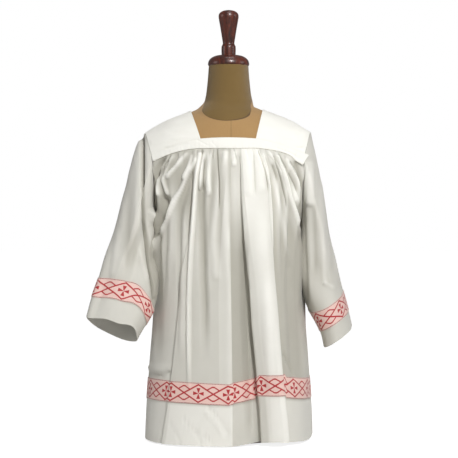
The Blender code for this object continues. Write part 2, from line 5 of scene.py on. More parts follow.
import bpy
import numpy as np
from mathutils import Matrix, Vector

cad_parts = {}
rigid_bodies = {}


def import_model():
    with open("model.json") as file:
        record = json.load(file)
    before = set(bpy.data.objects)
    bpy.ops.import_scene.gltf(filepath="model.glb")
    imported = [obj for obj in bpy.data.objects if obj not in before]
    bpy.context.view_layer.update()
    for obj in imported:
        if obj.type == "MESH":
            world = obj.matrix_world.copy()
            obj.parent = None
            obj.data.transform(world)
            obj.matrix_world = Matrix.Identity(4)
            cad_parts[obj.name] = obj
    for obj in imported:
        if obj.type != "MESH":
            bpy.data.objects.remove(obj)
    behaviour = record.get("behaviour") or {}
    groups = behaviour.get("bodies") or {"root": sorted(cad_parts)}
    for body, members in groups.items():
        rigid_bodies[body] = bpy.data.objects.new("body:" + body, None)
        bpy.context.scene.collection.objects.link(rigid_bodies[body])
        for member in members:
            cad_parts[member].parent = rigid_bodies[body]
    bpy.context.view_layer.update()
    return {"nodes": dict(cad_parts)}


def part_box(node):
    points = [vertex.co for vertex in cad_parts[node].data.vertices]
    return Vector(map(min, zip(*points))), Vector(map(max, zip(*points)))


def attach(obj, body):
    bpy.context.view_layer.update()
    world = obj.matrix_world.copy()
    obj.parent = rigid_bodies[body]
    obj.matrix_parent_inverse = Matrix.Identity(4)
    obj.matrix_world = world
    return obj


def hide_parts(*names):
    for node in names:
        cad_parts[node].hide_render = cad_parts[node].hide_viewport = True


# A surplice of white cotton with woven red galloons, on its linen-covered dress form.
# Metres, +Z up. The wearer faces -Y, so the wearer's right side is at -X.

for thing in list(bpy.data.objects):
    bpy.data.objects.remove(thing, do_unlink=True)
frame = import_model()
print("frame loaded")


# Plain numbers and curves

def smoothStep(low, high, value):
    share = np.clip((value - low) / (high - low), 0.0, 1.0)
    return share * share * (3.0 - 2.0 * share)


def bump(distance):  # 1 in the middle, falling smoothly to 0 where distance is 1
    return 0.5 * (1.0 + np.cos(np.pi * np.clip(np.abs(distance), 0.0, 1.0)))


def scatter(index, salt):  # a fixed irregular number from 0 to 1 for each index
    wave = np.sin(index * 12.9898 + salt * 78.233) * 43758.5453
    return wave - np.floor(wave)


def power(value, exponent):
    return np.sign(value) * np.abs(value) ** exponent


def curveThrough(table, at):  # a smooth curve through a table's rows, each placed by its first number
    table = np.array(table, float)
    last = len(table) - 1
    place = np.clip(at, table[0, 0], table[last, 0])
    upper = np.clip(np.searchsorted(table[:, 0], place), 1, last)
    below, above = table[upper - 1], table[upper]
    before, after = table[np.maximum(upper - 2, 0)], table[np.minimum(upper + 1, last)]
    span = (above - below)[..., :1]
    share = (place[..., None] - below[..., :1]) / span
    slopeIn = (above - before) / np.maximum((above - before)[..., :1], 1e-9) * span
    slopeOut = (after - below) / np.maximum((after - below)[..., :1], 1e-9) * span
    cube, square = share ** 3, share ** 2
    made = ((2 * cube - 3 * square + 1) * below + (cube - 2 * square + share) * slopeIn
            + (3 * square - 2 * cube) * above + (cube - square) * slopeOut)
    return made[..., 1:]


def sectionAt(sections, heights):  # half width, front and back
    return np.moveaxis(curveThrough(sections, heights), -1, 0)


# Camera: the photograph's frame is 458 x 458, and its pixels place the folds below

view = {"distance": 4.4, "height": 0.503, "focalPixels": 1760.0, "middleX": 228.6, "middleY": 238.0,
        "frame": 458.0, "sensor": 36.0}


def photoX(x, y):
    return view["middleX"] + x * view["focalPixels"] / (view["distance"] + y)


def photoY(y, z):
    return view["middleY"] + (view["height"] - z) * view["focalPixels"] / (view["distance"] + y)


def xFromPhoto(px, y):
    return (px - view["middleX"]) * (view["distance"] + y) / view["focalPixels"]


# A stroke is one ridge or crease drawn over the photograph: its line, its rise in mm, how far it
# reaches to either side and past its ends in pixels, how sharp its crest is, and how much it grows
# from its start to its end, which is what makes the lit lip at the end of a gather
Stroke = namedtuple("Stroke", "line rise left right top foot sharp grow", defaults=(1.0, 0.0))


def strokesAt(strokes, px, py):
    total = np.zeros(np.broadcast(px, py).shape)
    for stroke in (Stroke(*given) for given in strokes):
        line = np.array(stroke.line, float)
        across = abs(line[-1, 0] - line[0, 0]) > abs(line[-1, 1] - line[0, 1])
        if across:
            line = line[np.argsort(line[:, 0])]
            along, off, marks, places = px, py, line[:, 0], line[:, 1]
        else:
            line = line[np.argsort(line[:, 1])]
            along, off, marks, places = py, px, line[:, 1], line[:, 0]
        d = off - np.interp(along, marks, places)
        crest = bump(d / np.where(d < 0, stroke.left, stroke.right)) ** stroke.sharp
        ends = (smoothStep(marks[0] - stroke.top, marks[0], along)
                * (1 - smoothStep(marks[-1], marks[-1] + stroke.foot, along)))
        run = np.clip((along - marks[0]) / (marks[-1] - marks[0]), 0.0, 1.0)
        total += stroke.rise * 0.001 * crest * ends * (1 - stroke.grow * (1 - run) ** 2)
    return total


# Materials

bandSpacing = 0.31416  # how far apart a wave texture's bands lie at scale 1, in metres


def linear(hexColour):  # sRGB hex to linear
    parts = [int(hexColour[i:i + 2], 16) / 255 for i in (1, 3, 5)]
    return (*[c / 12.92 if c <= 0.04045 else ((c + 0.055) / 1.055) ** 2.4 for c in parts], 1.0)


def fillInputs(tree, node, inputs):
    for socket, value in inputs.items():
        if isinstance(value, bpy.types.NodeSocket):
            tree.links.new(value, node.inputs[socket])
        else:
            node.inputs[socket].default_value = value


def addNode(tree, kind, settings=None, inputs=None, output=0):
    node = tree.nodes.new(kind)
    for name, value in (settings or {}).items():
        setattr(node, name, value)
    fillInputs(tree, node, inputs or {})
    return node.outputs[output] if len(node.outputs) else None


def startMaterial(name):
    made = bpy.data.materials.new(name)
    made.use_nodes = True
    return made, made.node_tree


def finishMaterial(made, inputs):
    fillInputs(made.node_tree, made.node_tree.nodes["Principled BSDF"], inputs)
    return made


def makeCotton():
    # Plain-woven bleached cotton poplin, pressed: dull, faintly fuzzy, a little uneven in tone.
    # One layer lets light through into the dark inside, so it looks greyer than a doubled hem. The backing
    # attribute mixes the grey and the white: partly by how many layers lie behind the cloth, partly as painted
    # shade and painted light, darker in valleys, on a sunk panel and on the sleeves' inner sides, lighter on ridges.
    # Real threads lie 0.3 mm apart; they are drawn at 0.9 mm so that they show.
    cotton = {"single": "#BAB7AC", "singleShade": "#B2AFA3", "double": "#F6F5EE", "doubleShade": "#EFEDE5",
              "roughness": 0.86, "thread": 0.0009, "sheen": 0.2, "toneScale": 22.0, "crumpleScale": 45.0}
    made, tree = startMaterial("cotton_poplin_plain_weave")
    uv = addNode(tree, "ShaderNodeTexCoord", output="UV")
    place = addNode(tree, "ShaderNodeTexCoord", output="Object")
    warp, weft = (addNode(tree, "ShaderNodeTexWave", {"wave_type": "BANDS", "bands_direction": way},
                          {"Vector": uv, "Scale": bandSpacing / cotton["thread"], "Distortion": 0.6,
                           "Detail": 1.0, "Detail Scale": 0.4}, "Fac") for way in "XY")
    weave = addNode(tree, "ShaderNodeMath", {"operation": "MAXIMUM"}, {0: warp, 1: weft})
    tone = addNode(tree, "ShaderNodeTexNoise", {}, {"Vector": place, "Scale": cotton["toneScale"], "Detail": 5.0,
                                                    "Roughness": 0.6}, "Fac")
    crumple = addNode(tree, "ShaderNodeTexNoise", {}, {"Vector": place, "Scale": cotton["crumpleScale"],
                                                       "Detail": 3.0, "Roughness": 0.5}, "Fac")
    height = addNode(tree, "ShaderNodeMath", {"operation": "MULTIPLY_ADD"}, {0: crumple, 1: 3.0, 2: weave})
    relief = addNode(tree, "ShaderNodeBump", {}, {"Strength": 0.35, "Distance": 0.00025, "Height": height})
    backing = addNode(tree, "ShaderNodeAttribute", {"attribute_name": "backing"}, output="Fac")
    single, double = (addNode(tree, "ShaderNodeMix", {"data_type": "RGBA"},
                              {0: tone, 6: linear(cotton[layers]), 7: linear(cotton[layers + "Shade"])}, 2)
                      for layers in ("single", "double"))
    colour = addNode(tree, "ShaderNodeMix", {"data_type": "RGBA"}, {0: backing, 6: single, 7: double}, 2)
    return finishMaterial(made, {"Base Color": colour, "Normal": relief, "Roughness": cotton["roughness"],
                                 "Sheen Weight": cotton["sheen"], "Sheen Roughness": 0.5})


# The braid's woven figure, in mm: crosses stand in the diamonds of a lattice that peaks at each of
# them, and chevrons close the lattice's crossings
braid = {"ground": "#EFCFC6", "groundRib": "#E9C3B9", "figure": "#C23236", "figureShade": "#A81C22",
         "edge": "#9A4A48", "repeat": 72.0, "peak": 21.0, "line": 1.75, "latticeLine": 2.03,
         "chevronTop": 16.5, "chevronFoot": 18.0, "chevronSlope": 0.6, "chevronReach": 14.5, "crossInner": 1.2,
         "crossOuter": 13.0, "crossWaist": 1.0, "crossWaistAt": 2.0, "crossFlare": 0.34, "edgeAt": 24.2,
         "edgeHalf": 0.8, "softEdge": 0.25, "rib": 0.0011, "roughness": 0.62}


def makeGalloon():
    # Jacquard-woven rayon and cotton braid: a pink ribbed ground with a red brocaded figure that
    # stands a hair above it, slightly silkier than the cloth. It follows the braid's own UV.
    made, tree = startMaterial("jacquard_woven_galloon")
    uv = addNode(tree, "ShaderNodeTexCoord", output="UV")
    place = addNode(tree, "ShaderNodeTexCoord", output="Object")
    mm = addNode(tree, "ShaderNodeVectorMath", {"operation": "SCALE"}, {0: uv, "Scale": 1000.0})
    split = addNode(tree, "ShaderNodeSeparateXYZ", {}, {0: mm}).node.outputs
    wear = addNode(tree, "ShaderNodeTexNoise", {}, {"Vector": place, "Scale": 400.0, "Detail": 2.0}, "Fac")
    rib = addNode(tree, "ShaderNodeTexWave", {"wave_type": "BANDS", "bands_direction": "X"},
                  {"Vector": uv, "Scale": bandSpacing / braid["rib"], "Distortion": 0.3}, "Fac")
    half = braid["repeat"] / 2
    # Each step is a name, an operation and what it works on: a number or an earlier name
    steps = [
        ("along", "FLOORED_MODULO", "x", braid["repeat"]),
        ("offMiddle", "SUBTRACT", "along", half),
        ("fromCrossing", "ABSOLUTE", "offMiddle"),
        ("fromCross", "SUBTRACT", half, "fromCrossing"),
        ("up", "ABSOLUTE", "y"),
        ("peak", "MULTIPLY", "fromCrossing", braid["peak"] / half),
        ("offLattice", "SUBTRACT", "up", "peak"),
        ("fromLattice", "ABSOLUTE", "offLattice"),
        ("lattice", "WITHIN", "fromLattice", braid["latticeLine"]),
        ("fall", "MULTIPLY", "fromCrossing", braid["chevronSlope"]),
        ("slope", "SUBTRACT", braid["chevronFoot"], "fall"),
        ("bent", "MINIMUM", "slope", braid["chevronTop"]),
        ("offChevron", "SUBTRACT", "up", "bent"),
        ("fromChevron", "ABSOLUTE", "offChevron"),
        ("onChevron", "WITHIN", "fromChevron", braid["line"]),
        ("inReach", "WITHIN", "fromCrossing", braid["chevronReach"]),
        ("chevron", "MULTIPLY", "onChevron", "inReach"),
    ]
    for arm, lengthways, sideways in (("armAlong", "fromCross", "up"), ("armUp", "up", "fromCross")):
        steps += [
            ("pastWaist", "SUBTRACT", lengthways, braid["crossWaistAt"]),
            ("flare", "MULTIPLY_ADD", "pastWaist", braid["crossFlare"], braid["crossWaist"]),
            ("beside", "SUBTRACT", sideways, "flare"),
            ("blade", "WITHIN", "beside", 0.0),
            ("beforeTip", "WITHIN", lengthways, braid["crossOuter"]),
            ("pastRoot", "GREATER_THAN", lengthways, braid["crossInner"]),
            ("tipped", "MULTIPLY", "blade", "beforeTip"),
            (arm, "MULTIPLY", "tipped", "pastRoot"),
        ]
    steps += [
        ("lines", "MAXIMUM", "lattice", "chevron"),
        ("cross", "MAXIMUM", "armAlong", "armUp"),
        ("figure", "MAXIMUM", "lines", "cross"),
        ("offEdge", "SUBTRACT", "up", braid["edgeAt"]),
        ("fromEdge", "ABSOLUTE", "offEdge"),
        ("edge", "WITHIN", "fromEdge", braid["edgeHalf"]),
        ("height", "MULTIPLY_ADD", "figure", 1.5, "rib"),
    ]
    value = {"x": split[0], "y": split[1], "rib": rib}
    for name, operation, *given in steps:
        given = [value.get(item, item) for item in given]
        if operation == "WITHIN":  # 1 within a line's half width, with a thread's soft edge
            value[name] = addNode(tree, "ShaderNodeMapRange", {"interpolation_type": "SMOOTHSTEP"},
                                  {"Value": given[0], "From Min": given[1] + braid["softEdge"],
                                   "From Max": given[1] - braid["softEdge"], "To Min": 0.0, "To Max": 1.0})
        else:
            value[name] = addNode(tree, "ShaderNodeMath", {"operation": operation}, dict(enumerate(given)))
    pink, red = (addNode(tree, "ShaderNodeMix", {"data_type": "RGBA"},
                         {0: share, 6: linear(low), 7: linear(high)}, 2)
                 for share, low, high in ((rib, braid["groundRib"], braid["ground"]),
                                          (wear, braid["figureShade"], braid["figure"])))
    ground = addNode(tree, "ShaderNodeMix", {"data_type": "RGBA"},
                     {0: value["edge"], 6: pink, 7: linear(braid["edge"])}, 2)
    colour = addNode(tree, "ShaderNodeMix", {"data_type": "RGBA"}, {0: value["figure"], 6: ground, 7: red}, 2)
    relief = addNode(tree, "ShaderNodeBump", {}, {"Strength": 0.5, "Distance": 0.0002, "Height": value["height"]})
    return finishMaterial(made, {"Base Color": colour, "Normal": relief, "Roughness": braid["roughness"],
                                 "Sheen Weight": 0.15})


def makeLinen():
    # Unbleached linen stretched over a padded form: flat, slubby and slightly rough. The neck is
    # covered with a darker piece that meets the chest in a turned seam. Threads 0.5 mm, drawn 1.1 mm.
    linen = {"chest": "#B5915F", "chestSlub": "#A37F50", "neck": "#82683A", "neckSlub": "#6C5529",
             "seam": "#5E482B", "roughness": 0.92, "thread": 0.0011, "seamHeight": 0.858, "seamSlope": 0.75,
             "seamHalf": 0.0005, "centreSeam": 0.006, "centreHalf": 0.0006, "centreDepth": 0.55,
             "slubStretch": (900.0, 45.0, 1.0)}
    made, tree = startMaterial("unbleached_linen_cover")
    uv = addNode(tree, "ShaderNodeTexCoord", output="UV")
    place = addNode(tree, "ShaderNodeTexCoord", output="Object")
    split = addNode(tree, "ShaderNodeSeparateXYZ", {}, {0: place}).node.outputs
    warp, weft = (addNode(tree, "ShaderNodeTexWave", {"wave_type": "BANDS", "bands_direction": way},
                          {"Vector": uv, "Scale": bandSpacing / linen["thread"], "Distortion": 1.6,
                           "Detail": 2.0, "Detail Scale": 0.25}, "Fac") for way in "XY")
    stretched = addNode(tree, "ShaderNodeVectorMath", {"operation": "MULTIPLY"}, {0: uv, 1: linen["slubStretch"]})
    slub = addNode(tree, "ShaderNodeTexNoise", {}, {"Vector": stretched, "Scale": 1.0, "Detail": 3.0}, "Fac")
    dust = addNode(tree, "ShaderNodeTexNoise", {}, {"Vector": place, "Scale": 16.0, "Detail": 4.0}, "Fac")
    value = {"x": split[0], "y": split[1], "z": split[2], "warp": warp, "weft": weft, "slub": slub, "dust": dust}
    for name, operation, *given in (
            ("seamAt", "MULTIPLY_ADD", "y", linen["seamSlope"], linen["seamHeight"]),
            ("above", "SUBTRACT", "z", "seamAt"),
            ("isNeck", "GREATER_THAN", "above", 0.0),
            ("fromSeam", "ABSOLUTE", "above"),
            ("neckSeam", "LESS_THAN", "fromSeam", linen["seamHalf"]),
            ("offCentre", "SUBTRACT", "x", linen["centreSeam"]),
            ("fromCentre", "ABSOLUTE", "offCentre"),
            ("middle", "LESS_THAN", "fromCentre", linen["centreHalf"]),
            ("isFront", "LESS_THAN", "y", 0.0),
            ("isChest", "LESS_THAN", "above", 0.0),
            ("inFront", "MULTIPLY", "middle", "isFront"),
            ("onChest", "MULTIPLY", "inFront", "isChest"),
            ("centre", "MULTIPLY", "onChest", linen["centreDepth"]),
            ("seam", "MAXIMUM", "neckSeam", "centre"),
            ("weave", "MULTIPLY", "warp", "weft"),
            ("dusty", "MULTIPLY", "dust", 0.4),
            ("mottle", "MULTIPLY_ADD", "slub", 0.6, "dusty"),
            ("rough", "ADD", "weave", "slub"),
            ("groove", "MULTIPLY", "seam", 3.0),
            ("height", "SUBTRACT", "rough", "groove")):
        value[name] = addNode(tree, "ShaderNodeMath", {"operation": operation},
                              dict(enumerate(value.get(item, item) for item in given)))
    chest, neck = (addNode(tree, "ShaderNodeMix", {"data_type": "RGBA"},
                           {0: value["mottle"], 6: linear(linen[part + "Slub"]), 7: linear(linen[part])}, 2)
                   for part in ("chest", "neck"))
    cover = addNode(tree, "ShaderNodeMix", {"data_type": "RGBA"}, {0: value["isNeck"], 6: chest, 7: neck}, 2)
    colour = addNode(tree, "ShaderNodeMix", {"data_type": "RGBA"},
                     {0: value["seam"], 6: cover, 7: linear(linen["seam"])}, 2)
    relief = addNode(tree, "ShaderNodeBump", {}, {"Strength": 0.6, "Distance": 0.00035, "Height": value["height"]})
    return finishMaterial(made, {"Base Color": colour, "Normal": relief, "Roughness": linen["roughness"],
                                 "Sheen Weight": 0.2})


def makeMahogany(name, gloss):
    # Turned mahogany, stained dark and varnished: fine straight pores under a clear glossy coat.
    wood = {"dark": "#240A05", "light": "#6B2A12", "figureScale": 90.0, "pore": 0.0016, "roughness": 0.42}
    made, tree = startMaterial(name)
    place = addNode(tree, "ShaderNodeTexCoord", output="Object")
    grain, fine = (addNode(tree, "ShaderNodeMapping", {}, {"Vector": place, "Scale": (1.0, 1.0, along)})
                   for along in (0.12, 0.05))
    figure = addNode(tree, "ShaderNodeTexNoise", {}, {"Vector": grain, "Scale": wood["figureScale"], "Detail": 5.0,
                                                      "Distortion": 1.2}, "Fac")
    pores = addNode(tree, "ShaderNodeTexNoise", {}, {"Vector": fine, "Scale": 1.0 / wood["pore"], "Detail": 2.0},
                    "Fac")
    blend = addNode(tree, "ShaderNodeMath", {"operation": "MULTIPLY_ADD"}, {0: pores, 1: 0.35, 2: figure})
    share = addNode(tree, "ShaderNodeMapRange", {}, {"Value": blend, "From Min": 0.45, "From Max": 0.95})
    colour = addNode(tree, "ShaderNodeMix", {"data_type": "RGBA"},
                     {0: share, 6: linear(wood["dark"]), 7: linear(wood["light"])}, 2)
    relief = addNode(tree, "ShaderNodeBump", {}, {"Strength": 0.15, "Distance": 0.0002, "Height": pores})
    return finishMaterial(made, {"Base Color": colour, "Normal": relief, "Roughness": wood["roughness"],
                                 "Coat Weight": gloss, "Coat Roughness": 0.22})


def makeThread():
    # Mercerised sewing cotton, twisted and slightly lustrous.
    cotton = {"light": "#F2EFE6", "dark": "#DEDACD", "twistScale": 1500.0, "roughness": 0.55}
    made, tree = startMaterial("mercerised_sewing_thread")
    place = addNode(tree, "ShaderNodeTexCoord", output="Object")
    twist = addNode(tree, "ShaderNodeTexNoise", {}, {"Vector": place, "Scale": cotton["twistScale"]}, "Fac")
    colour = addNode(tree, "ShaderNodeMix", {"data_type": "RGBA"},
                     {0: twist, 6: linear(cotton["light"]), 7: linear(cotton["dark"])}, 2)
    return finishMaterial(made, {"Base Color": colour, "Roughness": cotton["roughness"]})


white = makeCotton()
galloon = makeGalloon()
linenCover = makeLinen()
mahogany = makeMahogany("turned_varnished_mahogany", 0.5)
plainWood = makeMahogany("turned_oiled_mahogany", 0.1)
thread = makeThread()
print("materials made")


# Walls: a grid of points moved out along its even normals, with a rim round it

def evenNormals(grid, closed, facing):
    after = np.roll(grid, -1, axis=1) if closed else grid[:, 1:]
    here = grid if closed else grid[:, :-1]
    faces = np.cross(here[1:] - after[:-1], after[1:] - here[:-1]) * facing
    faces /= np.maximum(np.linalg.norm(faces, axis=2, keepdims=True), 1e-12)
    rows, count = grid.shape[:2]
    total = np.zeros((rows, count, 3))
    number = np.zeros((rows, count, 1))
    near = []
    for down in (0, 1):
        for side in (0, 1):
            share = np.zeros((rows, count, 3))
            used = np.zeros((rows, count, 1))
            if closed:
                share[down:rows - 1 + down] = np.roll(faces, side, axis=1)
                used[down:rows - 1 + down] = 1
            else:
                share[down:rows - 1 + down, side:count - 1 + side] = faces
                used[down:rows - 1 + down, side:count - 1 + side] = 1
            near.append((share, used))
            total += share
            number += used
    mean = total / np.maximum(np.linalg.norm(total, axis=2, keepdims=True), 1e-12)
    even = sum((mean * share).sum(axis=2, keepdims=True) for share, used in near) / number
    return mean / np.maximum(even, 0.6)


def lengthsAlong(points):  # how far along the cloth each point of a line lies
    steps = np.linalg.norm(np.diff(points, axis=0), axis=1)
    return np.concatenate([[0.0], np.cumsum(steps)])


def addWall(name, inner, outer, look, closed=False, facing=1, across=None, down=None, backing=None):
    # across and down are the cloth's own coordinates in metres, which the weave and the braid follow,
    # and backing tells for each row or point how far another layer lies behind it, as in a hem or a tuck,
    # together with the painted shade and painted light laid into the same values
    rows, count = inner.shape[:2]
    spans = count if closed else count - 1
    last, end = rows - 1, count - 1
    r, c = (g.ravel() for g in np.mgrid[0:last, 0:spans])
    s, t = np.arange(spans), np.arange(last)
    # Faces by their first row and column, with the steps to their corners: row, column, wall (outer is 1)
    faces = [(r, c, ((0, 0, 1), (1, 0, 1), (1, 1, 1), (0, 1, 1))),
             (r, c, ((0, 0, 0), (0, 1, 0), (1, 1, 0), (1, 0, 0))),
             (0 * s, s, ((0, 0, 0), (0, 0, 1), (0, 1, 1), (0, 1, 0))),
             (0 * s + last, s, ((0, 0, 1), (0, 0, 0), (0, 1, 0), (0, 1, 1)))]
    if not closed:
        faces += [(t, 0 * t, ((0, 0, 1), (0, 0, 0), (1, 0, 0), (1, 0, 1))),
                  (t, 0 * t + end, ((0, 0, 0), (0, 0, 1), (1, 0, 1), (1, 0, 0)))]
    corners = np.concatenate([
        np.stack([np.stack([row + i, column + j, wall + 0 * row], axis=1) for i, j, wall in steps], axis=1)
        for row, column, steps in faces])
    if facing < 0:
        corners = corners[:, ::-1]
    index = corners[..., 0] * count + corners[..., 1] % count + corners[..., 2] * rows * count
    points = np.concatenate([inner.reshape(-1, 3), outer.reshape(-1, 3)])
    mesh = bpy.data.meshes.new(name)
    mesh.from_pydata(points.tolist(), [], index.tolist())
    if across is None:
        across = lengthsAlong(inner[rows // 2])
        if closed:
            across = np.append(across, across[-1] + np.linalg.norm(inner[rows // 2, 0] - inner[rows // 2, -1]))
    if down is None:
        down = lengthsAlong(inner[:, count // 2])
    flat = np.stack([np.asarray(across)[corners[..., 1]], np.asarray(down)[corners[..., 0]]], axis=2)
    layer = mesh.uv_layers.new(name="cloth")
    layer.data.foreach_set("uv", flat.reshape(-1).astype(np.float32))
    if backing is not None:
        behind = mesh.attributes.new("backing", "FLOAT", "POINT")
        values = backing if np.ndim(backing) == 2 else np.repeat(backing, count)
        behind.data.foreach_set("value", np.tile(np.ravel(values), 2).astype(np.float32))
    mesh.shade_smooth()
    mesh.set_sharp_from_angle(angle=math.radians(65))
    mesh.materials.append(look)
    made = bpy.data.objects.new(name, mesh)
    bpy.context.scene.collection.objects.link(made)
    return made


# Yoke: an arch over the shoulders, measured by its angle from the ridge (minus is the front)

yoke = {"cloth": 0.0018, "bandCloth": 0.0026, "seamAngle": 70.0, "bandAngle": 60.8, "bandJoin": 0.35,
        "ridgeAtNeck": 0.8207, "ridgeSlope": 0.49, "neckHalf": 0.0905, "bow": 0.0045, "bowAt": 0.155,
        "bowHalf": 0.075, "frontSeam": 0.721, "backSeam": 0.744, "levelHalf": 0.06, "drop": 2.0,
        "frontDepth": 0.122, "backDepth": 0.120, "depthLoss": 1.0, "wave": 0.0007, "shoulderOff": 0.0005,
        "pucker": 0.00045, "bandOff": 0.0004, "flapLift": 0.0090, "flapFrom": 0.86,
        "rows": 121, "columns": 57, "bandRows": 11, "bandColumns": 241}
YokeSide = namedtuple("YokeSide", "neckTop neckLow endTop endLow")
yokeSides = {"right": YokeSide(-0.0941, -0.0684, -0.2080, -0.1838),
             "left": YokeSide(0.0852, 0.0664, 0.2035, 0.1822)}


def ridgeHeight(x):
    bow = yoke["bow"] * bump((np.abs(x) - yoke["bowAt"]) / yoke["bowHalf"])
    outside = yoke["ridgeAtNeck"] - yoke["ridgeSlope"] * (np.abs(x) - yoke["neckHalf"])
    across = yoke["ridgeAtNeck"] + yoke["ridgeSlope"] * (yoke["neckHalf"] ** 2 - x * x) / (2 * yoke["neckHalf"])
    return np.where(np.abs(x) >= yoke["neckHalf"], outside, across) + bow


def yokeRadii(x, front):
    fall = yoke["drop"] * np.maximum(0.0, np.abs(x) - yoke["levelHalf"]) ** 2
    seam = np.where(front, yoke["frontSeam"], yoke["backSeam"]) - fall
    depth = np.where(front, yoke["frontDepth"], yoke["backDepth"]) - yoke["depthLoss"] * x * x
    angle = math.radians(yoke["seamAngle"])
    return depth / math.sin(angle), (ridgeHeight(x) - seam) / (1.0 - math.cos(angle))


def yokePoint(x, angle):
    x, angle = np.broadcast_arrays(np.asarray(x, float), np.asarray(angle, float))
    depth, rise = yokeRadii(x, angle < 0)
    turn = np.radians(angle)
    return np.stack([x, depth * np.sin(turn), ridgeHeight(x) - rise * (1.0 - np.cos(turn))], axis=-1)


def yokeEnd(side, angle):
    share = (np.abs(angle) / yoke["seamAngle"]) ** 1.5
    return side.endTop + (side.endLow - side.endTop) * share


def neckline(side, angle):
    low = math.cos(math.radians(yoke["bandAngle"]))
    share = (np.cos(np.radians(angle)) - low) / (1.0 - low)
    return side.neckLow + (side.neckTop - side.neckLow) * share


# Skirt: the smooth form under its folds

Section = namedtuple("Section", "height halfWidth front back")
skirtSections = (
    Section(0.00, 0.2070, 0.1800, 0.1720),
    Section(0.10, 0.2030, 0.1740, 0.1660),
    Section(0.20, 0.1960, 0.1680, 0.1610),
    Section(0.33, 0.1850, 0.1600, 0.1540),
    Section(0.45, 0.1810, 0.1530, 0.1500),
    Section(0.55, 0.1790, 0.1460, 0.1460),
    Section(0.64, 0.1830, 0.1390, 0.1390),
    Section(0.75, 0.1900, 0.1240, 0.1240),
)
skirt = {"cloth": 0.0013, "seamGap": 0.0005, "ringPower": 2.5, "underarm": 0.535, "hem": 0.010,
         "galloonLow": 0.104, "galloonHigh": 0.155, "armholeShare": 0.17, "armholeShareAtHem": 0.125,
         "lapShare": 0.006, "lapHalf": 0.0035, "lapHalfLess": 0.0010, "gathers": 24, "galloonCloth": 0.0010,
         "laidOnGap": 0.0003, "upperRows": 78, "galloonRows": 6, "lowerRows": 12, "seamDepth": 0.115,
         "foldDepth": 0.150, "puff": 0.009, "puffRises": (0.0, 0.07), "puffFalls": (0.10, 0.34), "sway": 0.0011,
         "swayFrom": (0.02, 0.15), "rollReach": 0.026, "tuckLayer": 0.5, "ridgePaintedLight": 130.0,
         "valleyPaintedShade": 90.0, "ridgeFades": (0.08, 0.30), "gatheredDown": (0.05, 0.25), "samples": 721,
         "lengthSamples": 181, "shareStep": 0.004, "easedSide": 0.10, "drawnSide": 0.035, "drawnFrom": 0.012,
         "liftBelow": (0.17, 0.50), "hemBelow": (0.01, 0.09)}
# Shares of the fall from the seam to the hem: laps begin, steps and tucks are full, and the seam's hold ends
fallShares = {"begun": 0.05, "grown": 0.55, "free": 0.40, "slanted": (0.1, 0.8), "rolled": (0.2, 0.9)}
# The small gathers under a band: how far they run down, how high they stand and by how much both vary,
# and the valleys between them. Those of the front are small, because its own gathers are drawn below
gathers = {"front": {"run": 0.016, "runMore": 0.022, "high": 0.0016, "highMore": 0.0016, "valley": 0.0014,
                     "wave": 0.0022},
           "back": {"run": 0.030, "runMore": 0.130, "high": 0.0040, "highMore": 0.0044, "valley": 0.0040,
                    "wave": 0.0022}}


# What the gathers of both sides share: how uneven their widths are, how a ridge is rounded, where along
# the fall its tongue ends, the sewn start, the valleys' end, and the wider waves
gatherShape = {"uneven": 0.55, "lean": 0.8, "leanMore": 0.5, "round": 0.75, "tongue": (-0.014, 0.010),
               "sewnShare": 0.25, "sewnRun": 0.014, "valleyEnds": (0.03, 0.16), "waveTurn": 1.9, "waveBend": 0.7,
               "waveRises": (0.03, 0.10), "waveFalls": (0.18, 0.40)}


def ringTurns():
    turns = np.linspace(0.0, np.pi, skirt["samples"])
    waist = skirtSections[4]
    reach, depth = waist.halfWidth, waist.front
    points = np.stack([-reach * power(np.cos(turns), 2 / skirt["ringPower"]),
                       depth * power(np.sin(turns), 2 / skirt["ringPower"])], axis=1)
    lengths = lengthsAlong(points)
    return lengths / lengths[-1], turns


ringLengths, ringAngles = ringTurns()


def ringPoint(share, height, way):  # way is -1 for the front half and 1 for the back
    share, height = np.broadcast_arrays(np.asarray(share, float), np.asarray(height, float))
    half, front, back = sectionAt(skirtSections, height)
    turn = np.interp(np.clip(share, 0.0, 1.0), ringLengths, ringAngles)
    depth = front if way < 0 else back
    return np.stack([-half * power(np.cos(turn), 2 / skirt["ringPower"]),
                     way * depth * np.maximum(0.0, np.sin(turn)) ** (2 / skirt["ringPower"]), height], axis=-1)


def armholePoint(side, rise, way):
    corner = yokePoint(side.endLow, way * yoke["seamAngle"])
    half = float(sectionAt(skirtSections, np.array([skirt["underarm"]]))[0][0])
    reach = math.copysign(half, side.endLow)
    turn = rise * np.pi / 2
    return np.stack([reach + (corner[0] - reach) * rise ** 2, corner[1] * np.sin(turn),
                     skirt["underarm"] + (corner[2] - skirt["underarm"]) * (1.0 - np.cos(turn))], axis=-1)


def skirtTop(share, way):
    right, left = yokeSides["right"], yokeSides["left"]
    edge = skirt["armholeShare"]
    along = np.clip((share - edge) / (1 - 2 * edge), 0.0, 1.0)
    seam = yokePoint(right.endLow + (left.endLow - right.endLow) * along, way * yoke["seamAngle"])
    rightArm = armholePoint(right, np.clip(share / edge, 0.0, 1.0), way)
    leftArm = armholePoint(left, np.clip((1 - share) / edge, 0.0, 1.0), way)
    isRight, isLeft = (share < edge)[..., None], (share > 1 - edge)[..., None]
    return np.where(isRight, rightArm, np.where(isLeft, leftArm, seam))


def halfRingLength(height, way):
    line = ringPoint(np.linspace(0, 1, skirt["lengthSamples"]), height, way)
    return lengthsAlong(line)[-1]


